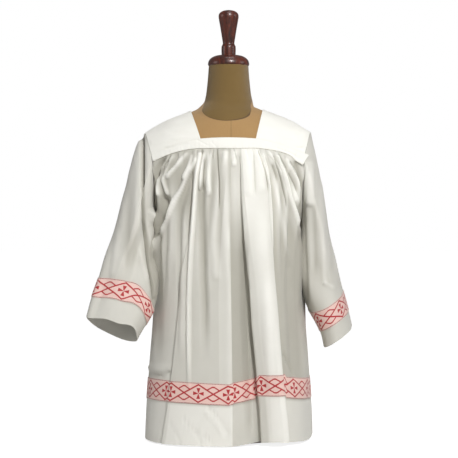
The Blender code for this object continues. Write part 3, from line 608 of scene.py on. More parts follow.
# A lap is an edge where the cloth folds over itself: its place in the photograph down the skirt, the
# cloth's step out (mm) and the depth of the tuck behind the edge (mm), each at the seam and at the
# hem. The tuck deepens from a share of the fall. A step up has its visible edge on its right-hand panel,
# a step down on its left-hand one. A roll (mm at the hem) rounds the edge of a step up.
Lap = namedtuple("Lap", "line stepSeam stepHem tuckSeam tuckHem tuckFrom columns roll", defaults=(0,))
frontLaps = (
    Lap(((194, 152), (194.5, 200), (189, 240), (182, 280), (178, 330), (174, 370), (171.5, 390), (163.7, 442)),
        3, 9, 0, 12, 0.72, 18),
    Lap(((229.7, 148), (230, 240), (231, 300), (232, 390), (232, 446)), -6, -23, 3, 27, 0.0, 24),
    Lap(((240, 150), (241, 200), (244, 240), (249, 285), (252, 330), (256.5, 370), (258, 390), (262, 440)),
        7, 26, 2, 17, 0.0, 26, 12),
    Lap(((258, 150), (265, 168), (268.5, 185), (270, 215), (271, 250), (273.5, 290), (276.5, 340), (279.5, 390),
         (284.5, 440)),
        -5, -14, 0, 12, 0.1, 22),
)
backLaps = (
    Lap(((200, 150), (196, 230), (190, 320), (184, 445)), 6, 24, 0, 10, 0.3, 18),
    Lap(((217, 150), (214, 240), (211, 320), (207, 445)), -6, -30, 2, 18, 0.0, 22),
    Lap(((230, 150), (231, 240), (231, 330), (232, 445)), 6, 29, 2, 16, 0.0, 22),
    Lap(((243, 150), (247, 240), (251, 330), (255, 445)), -5, -25, 1, 14, 0.1, 20),
    Lap(((258, 150), (266, 240), (272, 330), (278, 445)), 5, 20, 0, 8, 0.5, 18),
)
# Where the panels between the laps start, in mm out from the smooth form, at the seam and at the hem
panelStart = {"front": (0.0, 0.0), "back": (-1.0, -9.0)}
panelColumns = {"front": (84, 92, 40, 52, 84), "back": (60, 50, 44, 44, 50, 60)}
# How far other layers back each panel, below the gathers, among them and at the hem, with painted shade
# and painted light in the values: the narrow bright panel is backed all over by its tucks and painted lighter,
# and the sunk one beside it is painted darker where shade falls
panelLayersAndShade = {"front": (0.48, 0.38, 0.02, 0.66, 0.06), "back": (0.28, 0.4, 0.1, 0.5, 0.15, 0.35)}
gatherLayersAndShade = {"front": (0.12, 0.30, 0.60, 1.00, 0.50), "back": (0.2, 0.35, 0.4, 0.5, 0.4, 0.3)}
hemLayersAndShade = {"front": (0.68, 0.90, 0.42, 0.82, 0.62), "back": (0.66, 0.9, 0.5, 0.8, 0.6, 0.66)}
# How far each panel slants, in mm at the hem: its left edge is this much further out than its right one
panelSlant = {"front": (0, 0, 36, -14, 8), "back": (0, 4, 8, -6, 6, 0)}
armholeColumns = 16
# The nearest cross of the braid on each panel, by its place in the photograph
crossPlaces = {"front": (166.2, 198.3, 234.5, 262.5, 293.8), "back": (160, 205, 226, 241, 265, 300)}

# How far the cloth is lifted at the galloon and at the hem, in mm, by its place in the photograph
galloonLift = {"front": ((145, 4), (186, 2), (229, -3), (233, 1), (257, 9), (260, 18), (284, 19), (286, 12),
                         (310, 3)),
               "back": ((145, 3), (190, -1), (215, 4), (245, -2), (275, 3), (310, 1))}
hemLift = {"front": ((145, -2.5), (155, -4.8), (186, -5.1), (213, -6.8), (233, -7.0), (239, -6.0), (256, -1.0),
                     (276, 2.0), (298, -2.0), (311, -4)),
           "back": ((145, 0), (180, 3), (210, -3), (240, 2), (270, -2), (311, 1))}

frontStrokes = (
    # the deep pocket beside the right armhole, and the gathers that run down into it
    (((165, 155), (159, 167), (156.5, 180), (156, 208)), -14.0, 4.5, 5.0, 2, 12, 0.8),
    (((168, 200), (164, 216), (160, 232)), -12.5, 7.0, 7.0, 8, 14, 0.8),
    (((167, 157), (162, 171), (160.4, 184), (162, 194)), 6.0, 2.2, 2.6, 2, 3, 1.0, 0.6),
    (((171, 156), (165, 166), (161.5, 175)), -6.4, 1.5, 1.5, 1, 5, 1.3),
    (((173, 156), (168, 165), (165.5, 180), (170, 194)), 6.8, 2.4, 3.0, 2, 4, 1.0, 0.5),
    (((169.5, 161), (166, 172)), -6.0, 1.4, 1.4, 2, 5, 1.3),
    (((186, 154), (178, 165), (169.5, 176)), 8.5, 3.4, 4.0, 2, 3, 1.0, 0.6),
    (((192, 156), (189, 168), (185, 177)), 8.3, 2.6, 3.0, 2, 3, 1.0, 0.6),
    (((178, 152), (178, 156)), -4.5, 1.6, 1.6, 1, 4, 1.2),
    # the long ridges of the middle panel
    (((196, 160), (189, 175), (183, 190), (177.5, 200), (171, 215), (163, 232), (157, 243)), 9.1, 4.0, 3.4, 4, 10,
           1.0, 0.3),
    (((192.5, 176), (187, 192), (182.5, 206), (180, 240), (180, 290)), -4.0, 4.6, 5.0, 6, 40),
    (((192.8, 172), (192.6, 190), (191.0, 216), (189.4, 236)), -3.4, 1.6, 1.6, 4, 14, 1.3),
    (((200, 154), (197.5, 175), (196, 195), (194.5, 220), (192.5, 245), (190, 300), (190, 340)), 8.8, 2.8, 3.2,
     2, 60),
    (((185, 230), (184, 290), (184, 330)), 3.8, 5, 6, 30, 40),
    (((203, 190), (203, 240), (205.5, 305)), -9.1, 6.0, 6.0, 12, 60),
    (((204, 154), (202, 172), (201, 188)), 8.3, 2.2, 2.2, 1, 2.5, 1.0, 0.6),
    (((202, 150), (202.4, 153)), -6.4, 2.0, 2.0, 1, 3, 1.2),
    (((204.6, 162), (204.2, 188)), -5.6, 1.4, 1.4, 3, 3, 1.3),
    (((209.4, 154), (209.2, 176), (209.6, 192)), 8.3, 3.4, 3.4, 1, 3, 1.0, 0.7),
    (((213.4, 150), (212.8, 156)), -4.9, 1.4, 1.4, 1, 5, 1.3),
    (((217.4, 150), (218.4, 166), (219.4, 182), (219.4, 198)), -7.5, 1.5, 1.5, 1, 14, 1.4),
    (((214.5, 240), (216, 275)), 4.9, 5.0, 6.0, 30, 5, 1.0, 0.7),
    (((225, 152), (225, 190), (225.5, 240)), 3.8, 4.6, 4.6, 2, 50, 0.6),
    (((228, 240), (229, 380)), 2.3, 5, 3, 20, 30),
    # the tuck in the middle and the flat pleats beside it
    (((234, 150), (234.2, 164)), 6.0, 3.4, 3.4, 1, 3, 0.7, 0.6),
    (((233.6, 149), (236, 158)), -4.2, 1.2, 1.2, 1, 3, 1.4),
    (((246.8, 152), (247, 192)), 4.9, 5.0, 5.0, 2, 5, 0.6, 0.6),
    (((253.2, 156), (254, 188)), -3.4, 1.6, 1.6, 3, 8, 1.4),
    (((258.6, 158), (259.5, 188)), 4.5, 4.4, 4.4, 4, 5, 0.6, 0.6),
    (((257.8, 151), (261, 160), (264, 171), (266, 184)), -7.2, 1.5, 1.5, 1, 10, 1.4),
    (((262.5, 155), (266.5, 170), (268, 188), (269, 210), (271, 240)), 5.6, 2.6, 1.8, 2, 14),
    # gathers fanning out to the left armhole, and the dark hollow under the band's end
    (((272, 166), (274.5, 176)), -5.6, 2.4, 3.0, 2, 8),
    (((273, 157), (277, 169), (280.6, 184), (283.6, 202)), -8.7, 1.5, 1.6, 1, 7, 1.4),
    (((268, 152), (275.5, 163), (279, 172)), 4.9, 1.8, 1.8, 1, 6),
    (((277, 157), (281.5, 170), (285, 184), (288.5, 200), (294, 217), (299, 230)), 8.3, 2.6, 2.8, 2, 6, 1.0, 0.2),
    (((272, 182), (277, 205), (285, 245), (290, 262)), 4.5, 4.0, 4.0, 10, 5, 1.0, 0.4),
    (((278.2, 154), (282, 161), (286, 169)), -6.8, 1.4, 1.4, 1, 4, 1.4),
    (((286, 160), (288.5, 168)), 4.5, 2.4, 2.4, 2, 3),
    (((287.6, 173), (290.5, 180), (293, 188)), -7.9, 1.8, 2.4, 1, 5, 1.1),
    (((289.5, 186), (292.8, 200)), 6.8, 3.4, 3.4, 6, 3, 1.0, 0.5),
    (((290, 162), (294.5, 168), (298.5, 175), (301, 183)), -6.8, 1.4, 1.4, 1, 5, 1.3),
    (((289, 166), (294.4, 178), (297, 190), (297.6, 200)), 5.0, 1.8, 1.8, 2, 6),
    (((296, 163), (298.4, 172), (299.5, 190), (299.5, 212), (299, 236)), -6.5, 4.2, 3.6, 4, 14, 0.9),
    (((295, 208), (298, 222)), -5.2, 4.0, 4.0, 6, 8),
    (((300.5, 196), (301.5, 250), (304, 300)), -7.0, 5.0, 6.0, 24, 20, 0.8),
    # the panels' soft hollows lower down
    (((288, 245), (290, 300), (293, 360)), -6.2, 7.0, 12.0, 30, 30),
    (((303, 250), (305, 320), (306, 380)), 3.6, 6.0, 6.0, 30, 30),
    (((246, 255), (248, 330), (252, 420)), -5.1, 9.0, 3.0, 30, 20),
    (((262, 250), (272, 360), (281, 430)), 5.0, 15.0, 9.0, 60, 30),
    (((264, 300), (268, 380)), 2.9, 5.0, 6.0, 30, 30),
    (((160, 250), (158, 330)), -3.6, 5.0, 7.0, 20, 40),
    # dents and creases near the hem
    (((150, 374), (160, 377), (170, 374)), -6.4, 3.4, 3.0, 4, 4),
    (((150, 368), (168, 369)), 2.9, 3.5, 3.5, 6, 6),
    (((284, 363), (290, 371), (294, 379)), -5.8, 3.0, 3.6, 6, 5),
    (((209, 407), (219, 416), (228, 429)), -3.2, 2.0, 3.4, 4, 8, 1.2),
    (((206, 411), (216, 421), (224, 432)), 2.3, 3.0, 3.0, 4, 8),
    (((198, 430), (206, 434), (213, 441)), -2.6, 2.0, 3.0, 4, 6, 1.2),
    (((185, 420), (193, 427), (201, 438)), -2.3, 2.2, 3.2, 5, 6, 1.2),
    (((172, 424), (178, 433), (182, 441)), -1.7, 2.4, 3.0, 5, 5, 1.2),
)
backStrokes = (
    (((180, 165), (172, 210), (166, 290)), 4.0, 6, 7, 10, 40),
    (((196, 158), (190, 180), (187, 215)), 3.2, 3.4, 3.6, 4, 8),
    (((208, 156), (206, 200), (203, 260)), -3.4, 3.0, 3.0, 4, 30, 1.2),
    (((223, 156), (223, 190)), 3.0, 3.5, 3.5, 4, 8),
    (((236, 156), (237, 205)), 3.0, 3.5, 3.5, 4, 8),
    (((250, 156), (254, 200), (258, 250)), -3.2, 3.0, 3.0, 4, 26, 1.2),
    (((272, 160), (280, 200), (286, 262)), 4.2, 5.0, 6.0, 6, 14),
    (((288, 162), (296, 190), (300, 220)), 3.0, 3.0, 3.0, 4, 8),
    (((168, 164), (161, 184), (158, 204)), 3.0, 3.0, 3.0, 4, 6),
    (((197, 300), (199, 400)), 3.0, 8, 7, 40, 30),
    (((243, 290), (245, 400)), 2.6, 8, 8, 40, 30),
    (((262, 250), (266, 330)), -3.0, 6, 6, 30, 40),
    (((172, 360), (188, 372)), -2.6, 5, 5, 6, 8),
    (((214, 404), (232, 424)), -1.8, 3.4, 4.0, 6, 8, 1.2),
    (((268, 416), (284, 434)), 1.6, 3.4, 4.0, 6, 8),
)


def lapPlaces(laps, way):  # where each lap leaves the seam, as a share of the skirt's upper edge
    right, left = yokeSides["right"].endLow, yokeSides["left"].endLow
    edge = skirt["armholeShare"]
    places = [(xFromPhoto(lap.line[0][0], way * skirt["seamDepth"]) - right) / (left - right) for lap in laps]
    return [edge + (1 - 2 * edge) * place for place in places]


def lowerShare(share, fallen):
    edge, hem = skirt["armholeShare"], skirt["armholeShareAtHem"]
    atHem = np.interp(share, [0.0, edge, 1 - edge, 1.0], [0.0, hem, 1 - hem, 1.0])
    return share + (atHem - share) * fallen


def pleats(place, depth, way):
    # Rounded ridges with sharp valleys, uneven in width, height and length, each ending in a tongue
    count, made, shape = skirt["gathers"], gathers["front" if way < 0 else "back"], gatherShape
    marks = np.arange(count + 1, dtype=float)
    marks[1:-1] += shape["uneven"] * (scatter(marks[1:-1], 5 + way) - 0.5)
    number = np.clip(np.searchsorted(marks, place, side="right") - 1, 0, count - 1)
    inside = np.clip((place - marks[number]) / (marks[number + 1] - marks[number]), 0.0, 1.0)
    run = made["run"] + made["runMore"] * scatter(number, 3 + way) ** 1.5
    high = made["high"] + made["highMore"] * scatter(number, 8 + way)
    lean = shape["lean"] + shape["leanMore"] * scatter(number, 11 + way)
    ridge = np.sin(np.pi * inside ** lean) ** shape["round"]
    before, past = shape["tongue"]
    end = 1 - smoothStep(run + before, run + past, depth)
    sewn = shape["sewnShare"] + (1 - shape["sewnShare"]) * smoothStep(0.0, shape["sewnRun"], depth)
    valley = made["valley"] * (1 - smoothStep(*shape["valleyEnds"], depth))
    inSeam = (place > 0) & (place < count)
    edge = smoothStep(0.0, 1.0, np.minimum(place, count - place))
    wide = made["wave"] * np.sin(place * shape["waveTurn"] + 2.0 * np.sin(place * shape["waveBend"] + way)) \
        * smoothStep(*shape["waveRises"], depth) * (1 - smoothStep(*shape["waveFalls"], depth))
    return np.where(inSeam, ((high * ridge * end - valley) * sewn + wide) * edge, 0.0)


def skirtColumns(side, laps, starts):
    # From the wearer's right: the armhole, then panels and laps in turn, then the other armhole. Each
    # column has its share of the upper edge, its panel (-1 and -2 below the armholes), its place in
    # the panel (0 to 1) or in the lap (-1 to 1), and 1 if it is in a lap
    edge, half = skirt["armholeShare"], skirt["lapShare"]
    columns = []

    def addColumns(low, high, number, panel, inLap=0):
        for part in np.arange(number) / number:
            columns.append((low + (high - low) * part, panel, 2.0 * part - 1.0 if inLap else part, inLap))

    addColumns(0.0, edge, armholeColumns, -1)
    low = edge
    for k, (lap, start) in enumerate(zip(laps, starts)):
        addColumns(low, start - half, panelColumns[side][k], k)
        addColumns(start - half, start + half, lap.columns, k, 1)
        low = start + half
    addColumns(low, 1 - edge, panelColumns[side][-1], len(laps))
    addColumns(1 - edge, 1.0, armholeColumns, -2)
    columns.append((1.0, -2, 1.0, 0))
    shares, panels, turns, kinds = np.array(columns).T
    return shares, panels.astype(int), turns, kinds.astype(int)


def skirtHeights(top):
    high = top[:, 2] - skirt["seamGap"]
    downs = np.linspace(0, 1, skirt["upperRows"] + 1)[:, None] ** 1.3
    levels = np.concatenate([
        np.linspace(skirt["galloonHigh"], skirt["galloonLow"], skirt["galloonRows"] + 1)[1:],
        np.linspace(skirt["galloonLow"], skirt["hem"], skirt["lowerRows"] + 1)[1:]])
    upper = high + (skirt["galloonHigh"] - high) * downs
    return np.concatenate([upper, np.repeat(levels[:, None], len(high), axis=1)])


def lapOnRing(lap, start, way, shares, top, heights, fallen):  # where a lap lies on the ring at each row
    line = np.array(lap.line, float)
    y = way * skirt["foldDepth"]
    x = xFromPhoto(np.interp(photoY(y, heights), line[:, 1], line[:, 0]), y)
    samples = np.linspace(0, 1, skirt["samples"])
    onSeam = np.interp(start, shares, top[:, 0])
    onForm = ringPoint(start, np.interp(start, shares, top[:, 2]), way)[0]
    x = x - (onSeam - onForm) * (1.0 - smoothStep(0.0, fallShares["free"], fallen))
    return np.array([np.interp(place, ringPoint(samples, height, way)[:, 0], samples)
                     for place, height in zip(x, heights)])


def layHemBraid(side, laps, columns, points, normals):
    # The braid lies on the panel; on each panel it starts from its own cross, and changes in the tucks
    way = -1 if side == "front" else 1
    panels, turns, kinds = columns
    first, last = skirt["upperRows"], skirt["upperRows"] + skirt["galloonRows"]
    under = skirt["cloth"] + skirt["laidOnGap"]
    part, lines = points[first:last + 1], normals[first:last + 1]
    middle = points[(first + last) // 2] + normals[(first + last) // 2] * under
    along = lengthsAlong(middle)
    seenAt = photoX(middle[:, 0], middle[:, 1] if way < 0 else way * skirt["foldDepth"])
    shifts = []
    for k, cross in enumerate(crossPlaces[side]):
        shows = (panels == k) & (kinds == 0)
        if k > 0 and laps[k - 1].stepHem > 0:
            shows |= (panels == k - 1) & (kinds == 1) & (turns > 0.5)
        if k < len(laps) and laps[k].stepHem < 0:
            shows |= (panels == k) & (kinds == 1) & (turns < -0.5)
        cols = np.where(shows)[0]
        shifts.append(along[cols[np.argmin(np.abs(seenAt[cols] - cross))]])
    repeat = braid["repeat"] * 0.001
    for k in range(1, len(shifts)):  # whole repeats are free, so that the hidden cloth is strained least
        shifts[k] -= repeat * round((shifts[k] - shifts[k - 1]) / repeat)
    shifts = np.array(shifts + shifts[-1:])
    number = np.where(panels == -1, 0, np.where(panels == -2, len(laps), panels))
    blend = smoothStep(-0.5, 0.5, turns) * kinds
    shift = shifts[number] + (shifts[number + 1] - shifts[number]) * blend
    width = skirt["galloonHigh"] - skirt["galloonLow"]
    drop = np.linspace(width / 2, -width / 2, skirt["galloonRows"] + 1)
    return addWall(f"hem_galloon_{side}_braid", part + lines * under,
                   part + lines * (under + skirt["galloonCloth"]), galloon, False, -way, along - shift, drop)


def makeSkirt(side, laps, strokes):
    way = -1 if side == "front" else 1
    edge = skirt["armholeShare"]
    starts = lapPlaces(laps, way)
    shares, panels, turns, kinds = skirtColumns(side, laps, starts)
    margin = skirt["seamGap"] / halfRingLength(skirt["underarm"], way)
    shares = np.clip(shares, margin, 1 - margin)
    top = skirtTop(shares, way)
    heights = skirtHeights(top)
    rows, count = heights.shape
    depth = np.maximum(0.0, top[:, 2] - heights)
    fallen = np.minimum(1.0, depth / (top[:, 2] - skirt["hem"]))

    # Each lap's place, step out, tuck and half width at each row; the cloth between laps spreads evenly
    middle, fallenMiddle = heights[:, count // 2], fallen[:, count // 2]
    ringLength = np.array([halfRingLength(h, way) for h in middle])
    grown = smoothStep(0.0, fallShares["grown"], fallenMiddle)
    begun = smoothStep(0.0, fallShares["begun"], depth[:, count // 2])
    run = skirt["lapHalf"] - skirt["lapHalfLess"] * grown
    started, ended = panelStart[side]
    level = [(started + (ended - started) * grown) * 0.001 * begun]
    places, tucks = [], []
    for lap, start in zip(laps, starts):
        places.append(lapOnRing(lap, start, way, shares, top, middle, fallenMiddle))
        deeper = smoothStep(lap.tuckFrom, min(1.0, lap.tuckFrom + fallShares["grown"]), fallenMiddle)
        tucks.append((lap.tuckSeam + (lap.tuckHem - lap.tuckSeam) * deeper) * 0.001 * begun)
        level.append(level[-1] + (lap.stepSeam + (lap.stepHem - lap.stepSeam) * grown) * 0.001 * begun)
    slants = [slant * 0.001 * smoothStep(*fallShares["slanted"], fallenMiddle) for slant in panelSlant[side]]
    lower = lowerShare(shares, fallen)
    out = np.zeros((rows, count))
    smooth = lower.copy()
    for k in range(len(laps) + 1):
        cols = np.where((panels == k) & (kinds == 0))[0]
        first = smooth[:, cols[0]]
        final = smooth[:, min(cols[-1] + 1, count - 1)]
        if k > 0:
            first = places[k - 1] + (run + (tucks[k - 1] if laps[k - 1].stepHem > 0 else 0.0)) / ringLength
        if k < len(laps):
            final = places[k] - (run + (tucks[k] if laps[k].stepHem < 0 else 0.0)) / ringLength
        part = turns[cols]
        lower[:, cols] = first[:, None] + (final - first)[:, None] * part
        out[:, cols] = level[k][:, None] + slants[k][:, None] * (0.5 - part)
    # below the armholes the cloth keeps the level of the panel beside it
    out[:, panels == -1] = (level[0] + slants[0] / 2)[:, None]
    out[:, panels == -2] = (level[-1] - slants[-1] / 2)[:, None]
    for k, lap in enumerate(laps):
        cols = np.where((panels == k) & (kinds == 1))[0]
        t = turns[cols]
        centre = tucks[k] / 2 if lap.stepHem > 0 else -tucks[k] / 2
        move = centre[:, None] + (tucks[k] / 2)[:, None] * (4 * t ** 3 - 3 * t) + run[:, None] * t
        lower[:, cols] = places[k][:, None] + move / ringLength[:, None]
        edges = level[k] - slants[k] / 2, level[k + 1] + slants[k + 1] / 2
        out[:, cols] = edges[0][:, None] + (edges[1] - edges[0])[:, None] * smoothStep(-0.8, 0.8, t)
        # the edge of a step up rolls in over itself
        turned = cols[t > -0.8]
        beyond = np.where((panels == k + 1) & (kinds == 0))[0]
        rolled = np.concatenate([turned, beyond])
        inward = np.maximum(0.0, lower[:, rolled] - places[k][:, None]) * ringLength[:, None]
        inward[:, :len(turned)] *= turns[turned] > 0.5
        away = smoothStep(-0.8, -0.4, np.concatenate([turns[turned], np.ones(len(beyond))]))
        out[:, rolled] -= (lap.roll * 0.001 * smoothStep(*fallShares["rolled"], fallenMiddle))[:, None] * away * \
            (1 - smoothStep(0.0, skirt["rollReach"], inward))

    # How far another layer lies behind each point, with the painted shade and painted light of the panel tables
    layers = np.zeros((rows, count))
    for k, lap in enumerate(laps):
        over = np.where((panels == (k if lap.stepHem < 0 else k + 1)) & (kinds == 0))[0]
        distance = np.abs(lower[:, over] - places[k][:, None]) * ringLength[:, None]
        layers[:, over] = np.maximum(layers[:, over], smoothStep(-0.010, 0.012, tucks[k][:, None] - distance))
        fold = np.where((panels == k) & (kinds == 1))[0]
        visible = turns[fold] < 0 if lap.stepHem < 0 else turns[fold] > 0
        layers[:, fold] = smoothStep(0.0, 0.008, tucks[k])[:, None] * visible
    isHem = np.arange(rows)[:, None] >= rows - skirt["lowerRows"]
    number = np.where(panels == -1, 0, np.where(panels == -2, len(laps), panels))
    plain, gathered, hemmed = (np.array(share[side])[number] for share in (panelLayersAndShade, gatherLayersAndShade, hemLayersAndShade))
    base = plain + (gathered - plain) * (1 - smoothStep(*skirt["gatheredDown"], depth))
    backing = np.maximum(np.where(isHem, hemmed, base), layers * skirt["tuckLayer"] * ~isHem)

    # The form, with the panels' levels and the drawn folds eased into the sides
    near = smoothStep(0.0, skirt["easedSide"], np.minimum(lower, 1 - lower))
    hold = 1.0 - smoothStep(0.0, fallShares["free"], fallen)
    offset = (top - ringPoint(shares, top[:, 2], way)) * np.array([1.0, 1.0, 0.0])
    points = ringPoint(lower, heights, way) + offset[None] * hold[..., None]
    ahead = ringPoint(lower + skirt["shareStep"], heights, way) - ringPoint(lower - skirt["shareStep"], heights, way)
    ahead[..., 2] = 0
    ahead /= np.linalg.norm(ahead, axis=2, keepdims=True)
    outward = np.stack([ahead[..., 1], -ahead[..., 0], np.zeros((rows, count))], axis=2) * -way
    seenDepth = points[..., 1] if way < 0 else way * skirt["foldDepth"]
    px, py = photoX(points[..., 0], seenDepth), photoY(seenDepth, points[..., 2])
    out = out + skirt["puff"] * smoothStep(*skirt["puffRises"], depth) * (1 - smoothStep(*skirt["puffFalls"], depth))
    place = (shares - edge) / (1 - 2 * edge) * skirt["gathers"]
    folds = pleats(place[None, :] * np.ones((rows, 1)), depth, way)
    sides = smoothStep(0.0, skirt["drawnSide"], np.minimum(lower, 1 - lower))
    folds += strokesAt(strokes, px, py) * sides * smoothStep(0.0, skirt["drawnFrom"], depth)
    points = points + outward * (out * near + folds)[..., None]
    # painted light along each ridge and painted shade along each valley, weaker lower down
    paintWeight = 1 - 0.65 * smoothStep(*skirt["ridgeFades"], depth)
    backing += folds * paintWeight * np.where(folds > 0, skirt["ridgePaintedLight"], skirt["valleyPaintedShade"])
    backing = np.clip(backing, 0.0, 1.0)
    lift, liftHem = (np.interp(px, *np.array(lifts[side], float).T) * 0.001 for lifts in (galloonLift, hemLift))
    low = 1 - smoothStep(*skirt["hemBelow"], heights)
    high = smoothStep(*skirt["hemBelow"], heights) * (1 - smoothStep(*skirt["liftBelow"], heights)) \
        * smoothStep(0.0, 0.1, depth)
    points[..., 2] += (lift * high + liftHem * low) * near
    # soft unevenness of cloth that hangs
    sway = points[..., 0] * 21 + heights * 9 + 1.7 * np.sin(heights * 17 + way)
    points += outward * (skirt["sway"] * np.sin(sway) * near * smoothStep(*skirt["swayFrom"], depth))[..., None]

    normals = evenNormals(points, False, -way)
    across = lengthsAlong(points[skirt["upperRows"] + 3])
    down = lengthsAlong(points[:, count // 2])
    panel = addWall(f"body_{side}_cloth", points, points + normals * skirt["cloth"], white, False, -way, across,
                    down, backing)
    strip = layHemBraid(side, laps, (panels, turns, kinds), points, normals)
    print(panel.name, "and", strip.name, "made")
    return panel, strip, points, normals


bodyFront, braidFront, frontGrid, frontNormals = makeSkirt("front", frontLaps, frontStrokes)
bodyBack, braidBack, backGrid, backNormals = makeSkirt("back", backLaps, backStrokes)
print("body panels made")


# Yoke panels and bands

yokeStrokes = (
    (((272, 145), (286, 139), (300, 136)), -2.56, 4.0, 5.0, 6, 4, 1.2),
    (((288, 150), (304, 148.5)), -4.16, 3.0, 3.4, 6, 3, 1.2),
    (((268, 128), (292, 131)), 1.92, 7.0, 7.0, 10, 8),
    (((152, 143), (172, 139), (190, 138)), 2.08, 5.0, 4.0, 6, 8),
    (((158, 128), (182, 122)), -1.6, 6.0, 6.0, 8, 8),
    (((170, 132), (192, 135)), -1.44, 4.0, 4.0, 8, 6),
)
bandStrokes = (
    (((199, 141), (208, 146)), -1.44, 1.6, 1.8, 3, 3, 1.2),
    (((212, 143), (217, 148)), -1.12, 1.6, 1.8, 3, 3, 1.2),
    (((252, 146), (262, 143)), -1.12, 1.6, 1.8, 3, 3, 1.2),
    (((168, 149), (186, 144)), -1.28, 1.4, 1.6, 4, 4, 1.2),
    (((276, 148), (300, 157)), -1.12, 1.4, 1.6, 4, 4, 1.2),
)


def makeYoke():
    made = {}
    angles = np.linspace(-yoke["bandAngle"], yoke["bandAngle"], yoke["rows"])
    parts = np.linspace(0, 1, yoke["columns"])
    for name, side in yokeSides.items():
        start, end = neckline(side, angles)[:, None], yokeEnd(side, angles)[:, None]
        points = yokePoint(start + (end - start) * parts, angles[:, None])
        facing = 1 if name == "right" else -1
        normals = evenNormals(points, False, facing)
        edges = (smoothStep(0.0, 0.10, parts) * smoothStep(0.0, 0.08, 1 - parts))[None, :]
        seams = (smoothStep(0, 7, yoke["bandAngle"] - np.abs(angles)))[:, None]
        px, py = photoX(points[..., 0], points[..., 1]), photoY(points[..., 1], points[..., 2])
        lift = strokesAt(yokeStrokes, px, py) * smoothStep(0.0, 20.0, -angles)[:, None]
        x, y = points[..., 0], points[..., 1]
        lift += yoke["wave"] * np.sin(x * 60 + y * 45 + 1.5 * np.sin(y * 50)) + yoke["shoulderOff"]
        points = points + normals * (lift * edges * seams)[..., None]
        normals = evenNormals(points, False, facing)
        piece = addWall(f"yoke_shoulder_{name}_cloth", points, points + normals * yoke["cloth"], white, False,
                        facing, backing=np.ones(len(angles)))
        made[name] = (piece, points, normals)
    right, left = yokeSides["right"], yokeSides["left"]
    for name, way in (("front", -1), ("back", 1)):
        rows = np.linspace(yoke["bandAngle"] + yoke["bandJoin"], yoke["seamAngle"], yoke["bandRows"])
        start, end = yokeEnd(right, rows)[:, None], yokeEnd(left, rows)[:, None]
        along = np.linspace(0, 1, yoke["bandColumns"])
        points = yokePoint(start + (end - start) * along, way * rows[:, None])
        normals = evenNormals(points, False, -way)
        low = np.linspace(0, 1, yoke["bandRows"])[:, None]
        if way < 0:
            px, py = photoX(points[..., 0], points[..., 1]), photoY(points[..., 1], points[..., 2])
            lift = strokesAt(bandStrokes, px, py)
            # the band's end at the wearer's left springs away from the sleeve
            lift = lift + yoke["flapLift"] * smoothStep(0.93, 1.0, along)[None, :] ** 1.4 * (0.3 + 0.7 * low)
            end = smoothStep(yoke["flapFrom"], 1.0, along) ** 2
            points[..., 0] += (0.008 - 0.013 * low) * end
            points[..., 2] -= (0.003 + 0.009 * low) * end
        else:
            lift = np.zeros(points.shape[:2])
        pucker = np.sin(along * 90 + 3.0 * np.sin(along * 37) + 2 * np.sin(along * 101))[None, :] * low
        points = points + normals * (lift + yoke["pucker"] * pucker + yoke["bandOff"])[..., None]
        normals = evenNormals(points, False, -way)
        piece = addWall(f"yoke_{name}_band_cloth", points, points + normals * yoke["bandCloth"], white, False, -way,
                        backing=np.ones(len(rows)))
        made[name] = (piece, points, normals)
    return made


yokePieces = makeYoke()
print("yoke made")


# Sleeves: tubes from the armhole to the cuff, whose two half axes point to its outer fold and its front

Cuff = namedtuple("Cuff", "centre outward forward")
cuffs = {
    "right": Cuff((-0.2865, -0.102, 0.2840), (-0.0590, 0.002, 0.0275), (0.005, -0.053, 0.0190)),
    "left": Cuff((0.2745, 0.026, 0.2575), (0.0350, 0.012, 0.0245), (-0.004, -0.087, -0.007)),
}
Swell = namedtuple("Swell", "turn halfTurn down halfDown shift")
sleeveSwells = {
    "right": (
        Swell(0.02, 0.17, 0.68, 0.42, (0.035, -0.012, -0.004)),
        Swell(0.13, 0.11, 1.00, 0.60, (0.004, -0.006, 0.012)),
        Swell(0.385, 0.15, 1.00, 0.55, (0.0, 0.0, -0.010)),
        Swell(0.44, 0.09, 0.88, 0.40, (-0.004, -0.016, 0.0)),
        Swell(0.31, 0.10, 0.45, 0.42, (0.008, -0.010, 0.0)),
        Swell(0.22, 0.07, 0.45, 0.40, (0.000, 0.012, 0.0)),
        Swell(0.50, 0.18, 0.10, 0.50, (-0.007, 0.0, 0.003)),
        Swell(0.04, 0.15, 0.38, 0.30, (0.017, -0.008, 0.0)),
        Swell(0.78, 0.16, 0.45, 0.42, (-0.004, 0.016, 0.0)),
    ),
    "left": (
        Swell(0.08, 0.17, 0.44, 0.55, (-0.025, -0.014, 0.0)),
        Swell(0.30, 0.14, 0.32, 0.30, (0.004, -0.014, 0.0)),
        Swell(0.48, 0.20, 0.62, 0.36, (-0.006, 0.0, 0.0)),
        Swell(0.89, 0.22, 0.61, 0.33, (-0.033, 0.006, 0.0)),
        Swell(0.66, 0.16, 0.50, 0.42, (0.004, 0.012, 0.0)),
    ),
}
sleeve = {"columns": 168, "hemRows": 8, "galloonTop": {"right": 0.099, "left": 0.090},
          "galloonFoot": {"right": 0.051, "left": 0.041}, "underCloser": {"right": 0.20, "left": 0.0},
          "frontFurther": {"right": 0.10, "left": 0.0}, "frontShare": 0.62, "cuffPower": 0.85, "overBody": 1.8,
          "aboveBraid": 80, "braidRows": 7, "measuredRow": 60,
          "sewn": 0.06, "galloonWidth": 0.0514, "crossAt": {"right": 122.7, "left": 319.5}, "ridgePaintedLight": 60.0,
          "wave": 0.0010, "ripple": 0.0007, "backing": 0.42, "hemLayersAndShade": {"right": 0.48, "left": 0.38},
          "innerShade": 0.42, "innerUntil": 0.16, "overUntil": 0.06, "underUntil": (0.04, 0.17),
          "frontAt": 0.17, "frontHalf": 0.14, "drawnFrom": 0.05, "pulledFrom": 0.03, "seenFront": (-0.25, 0.10),
          "seenBack": (0.0, 0.35)}
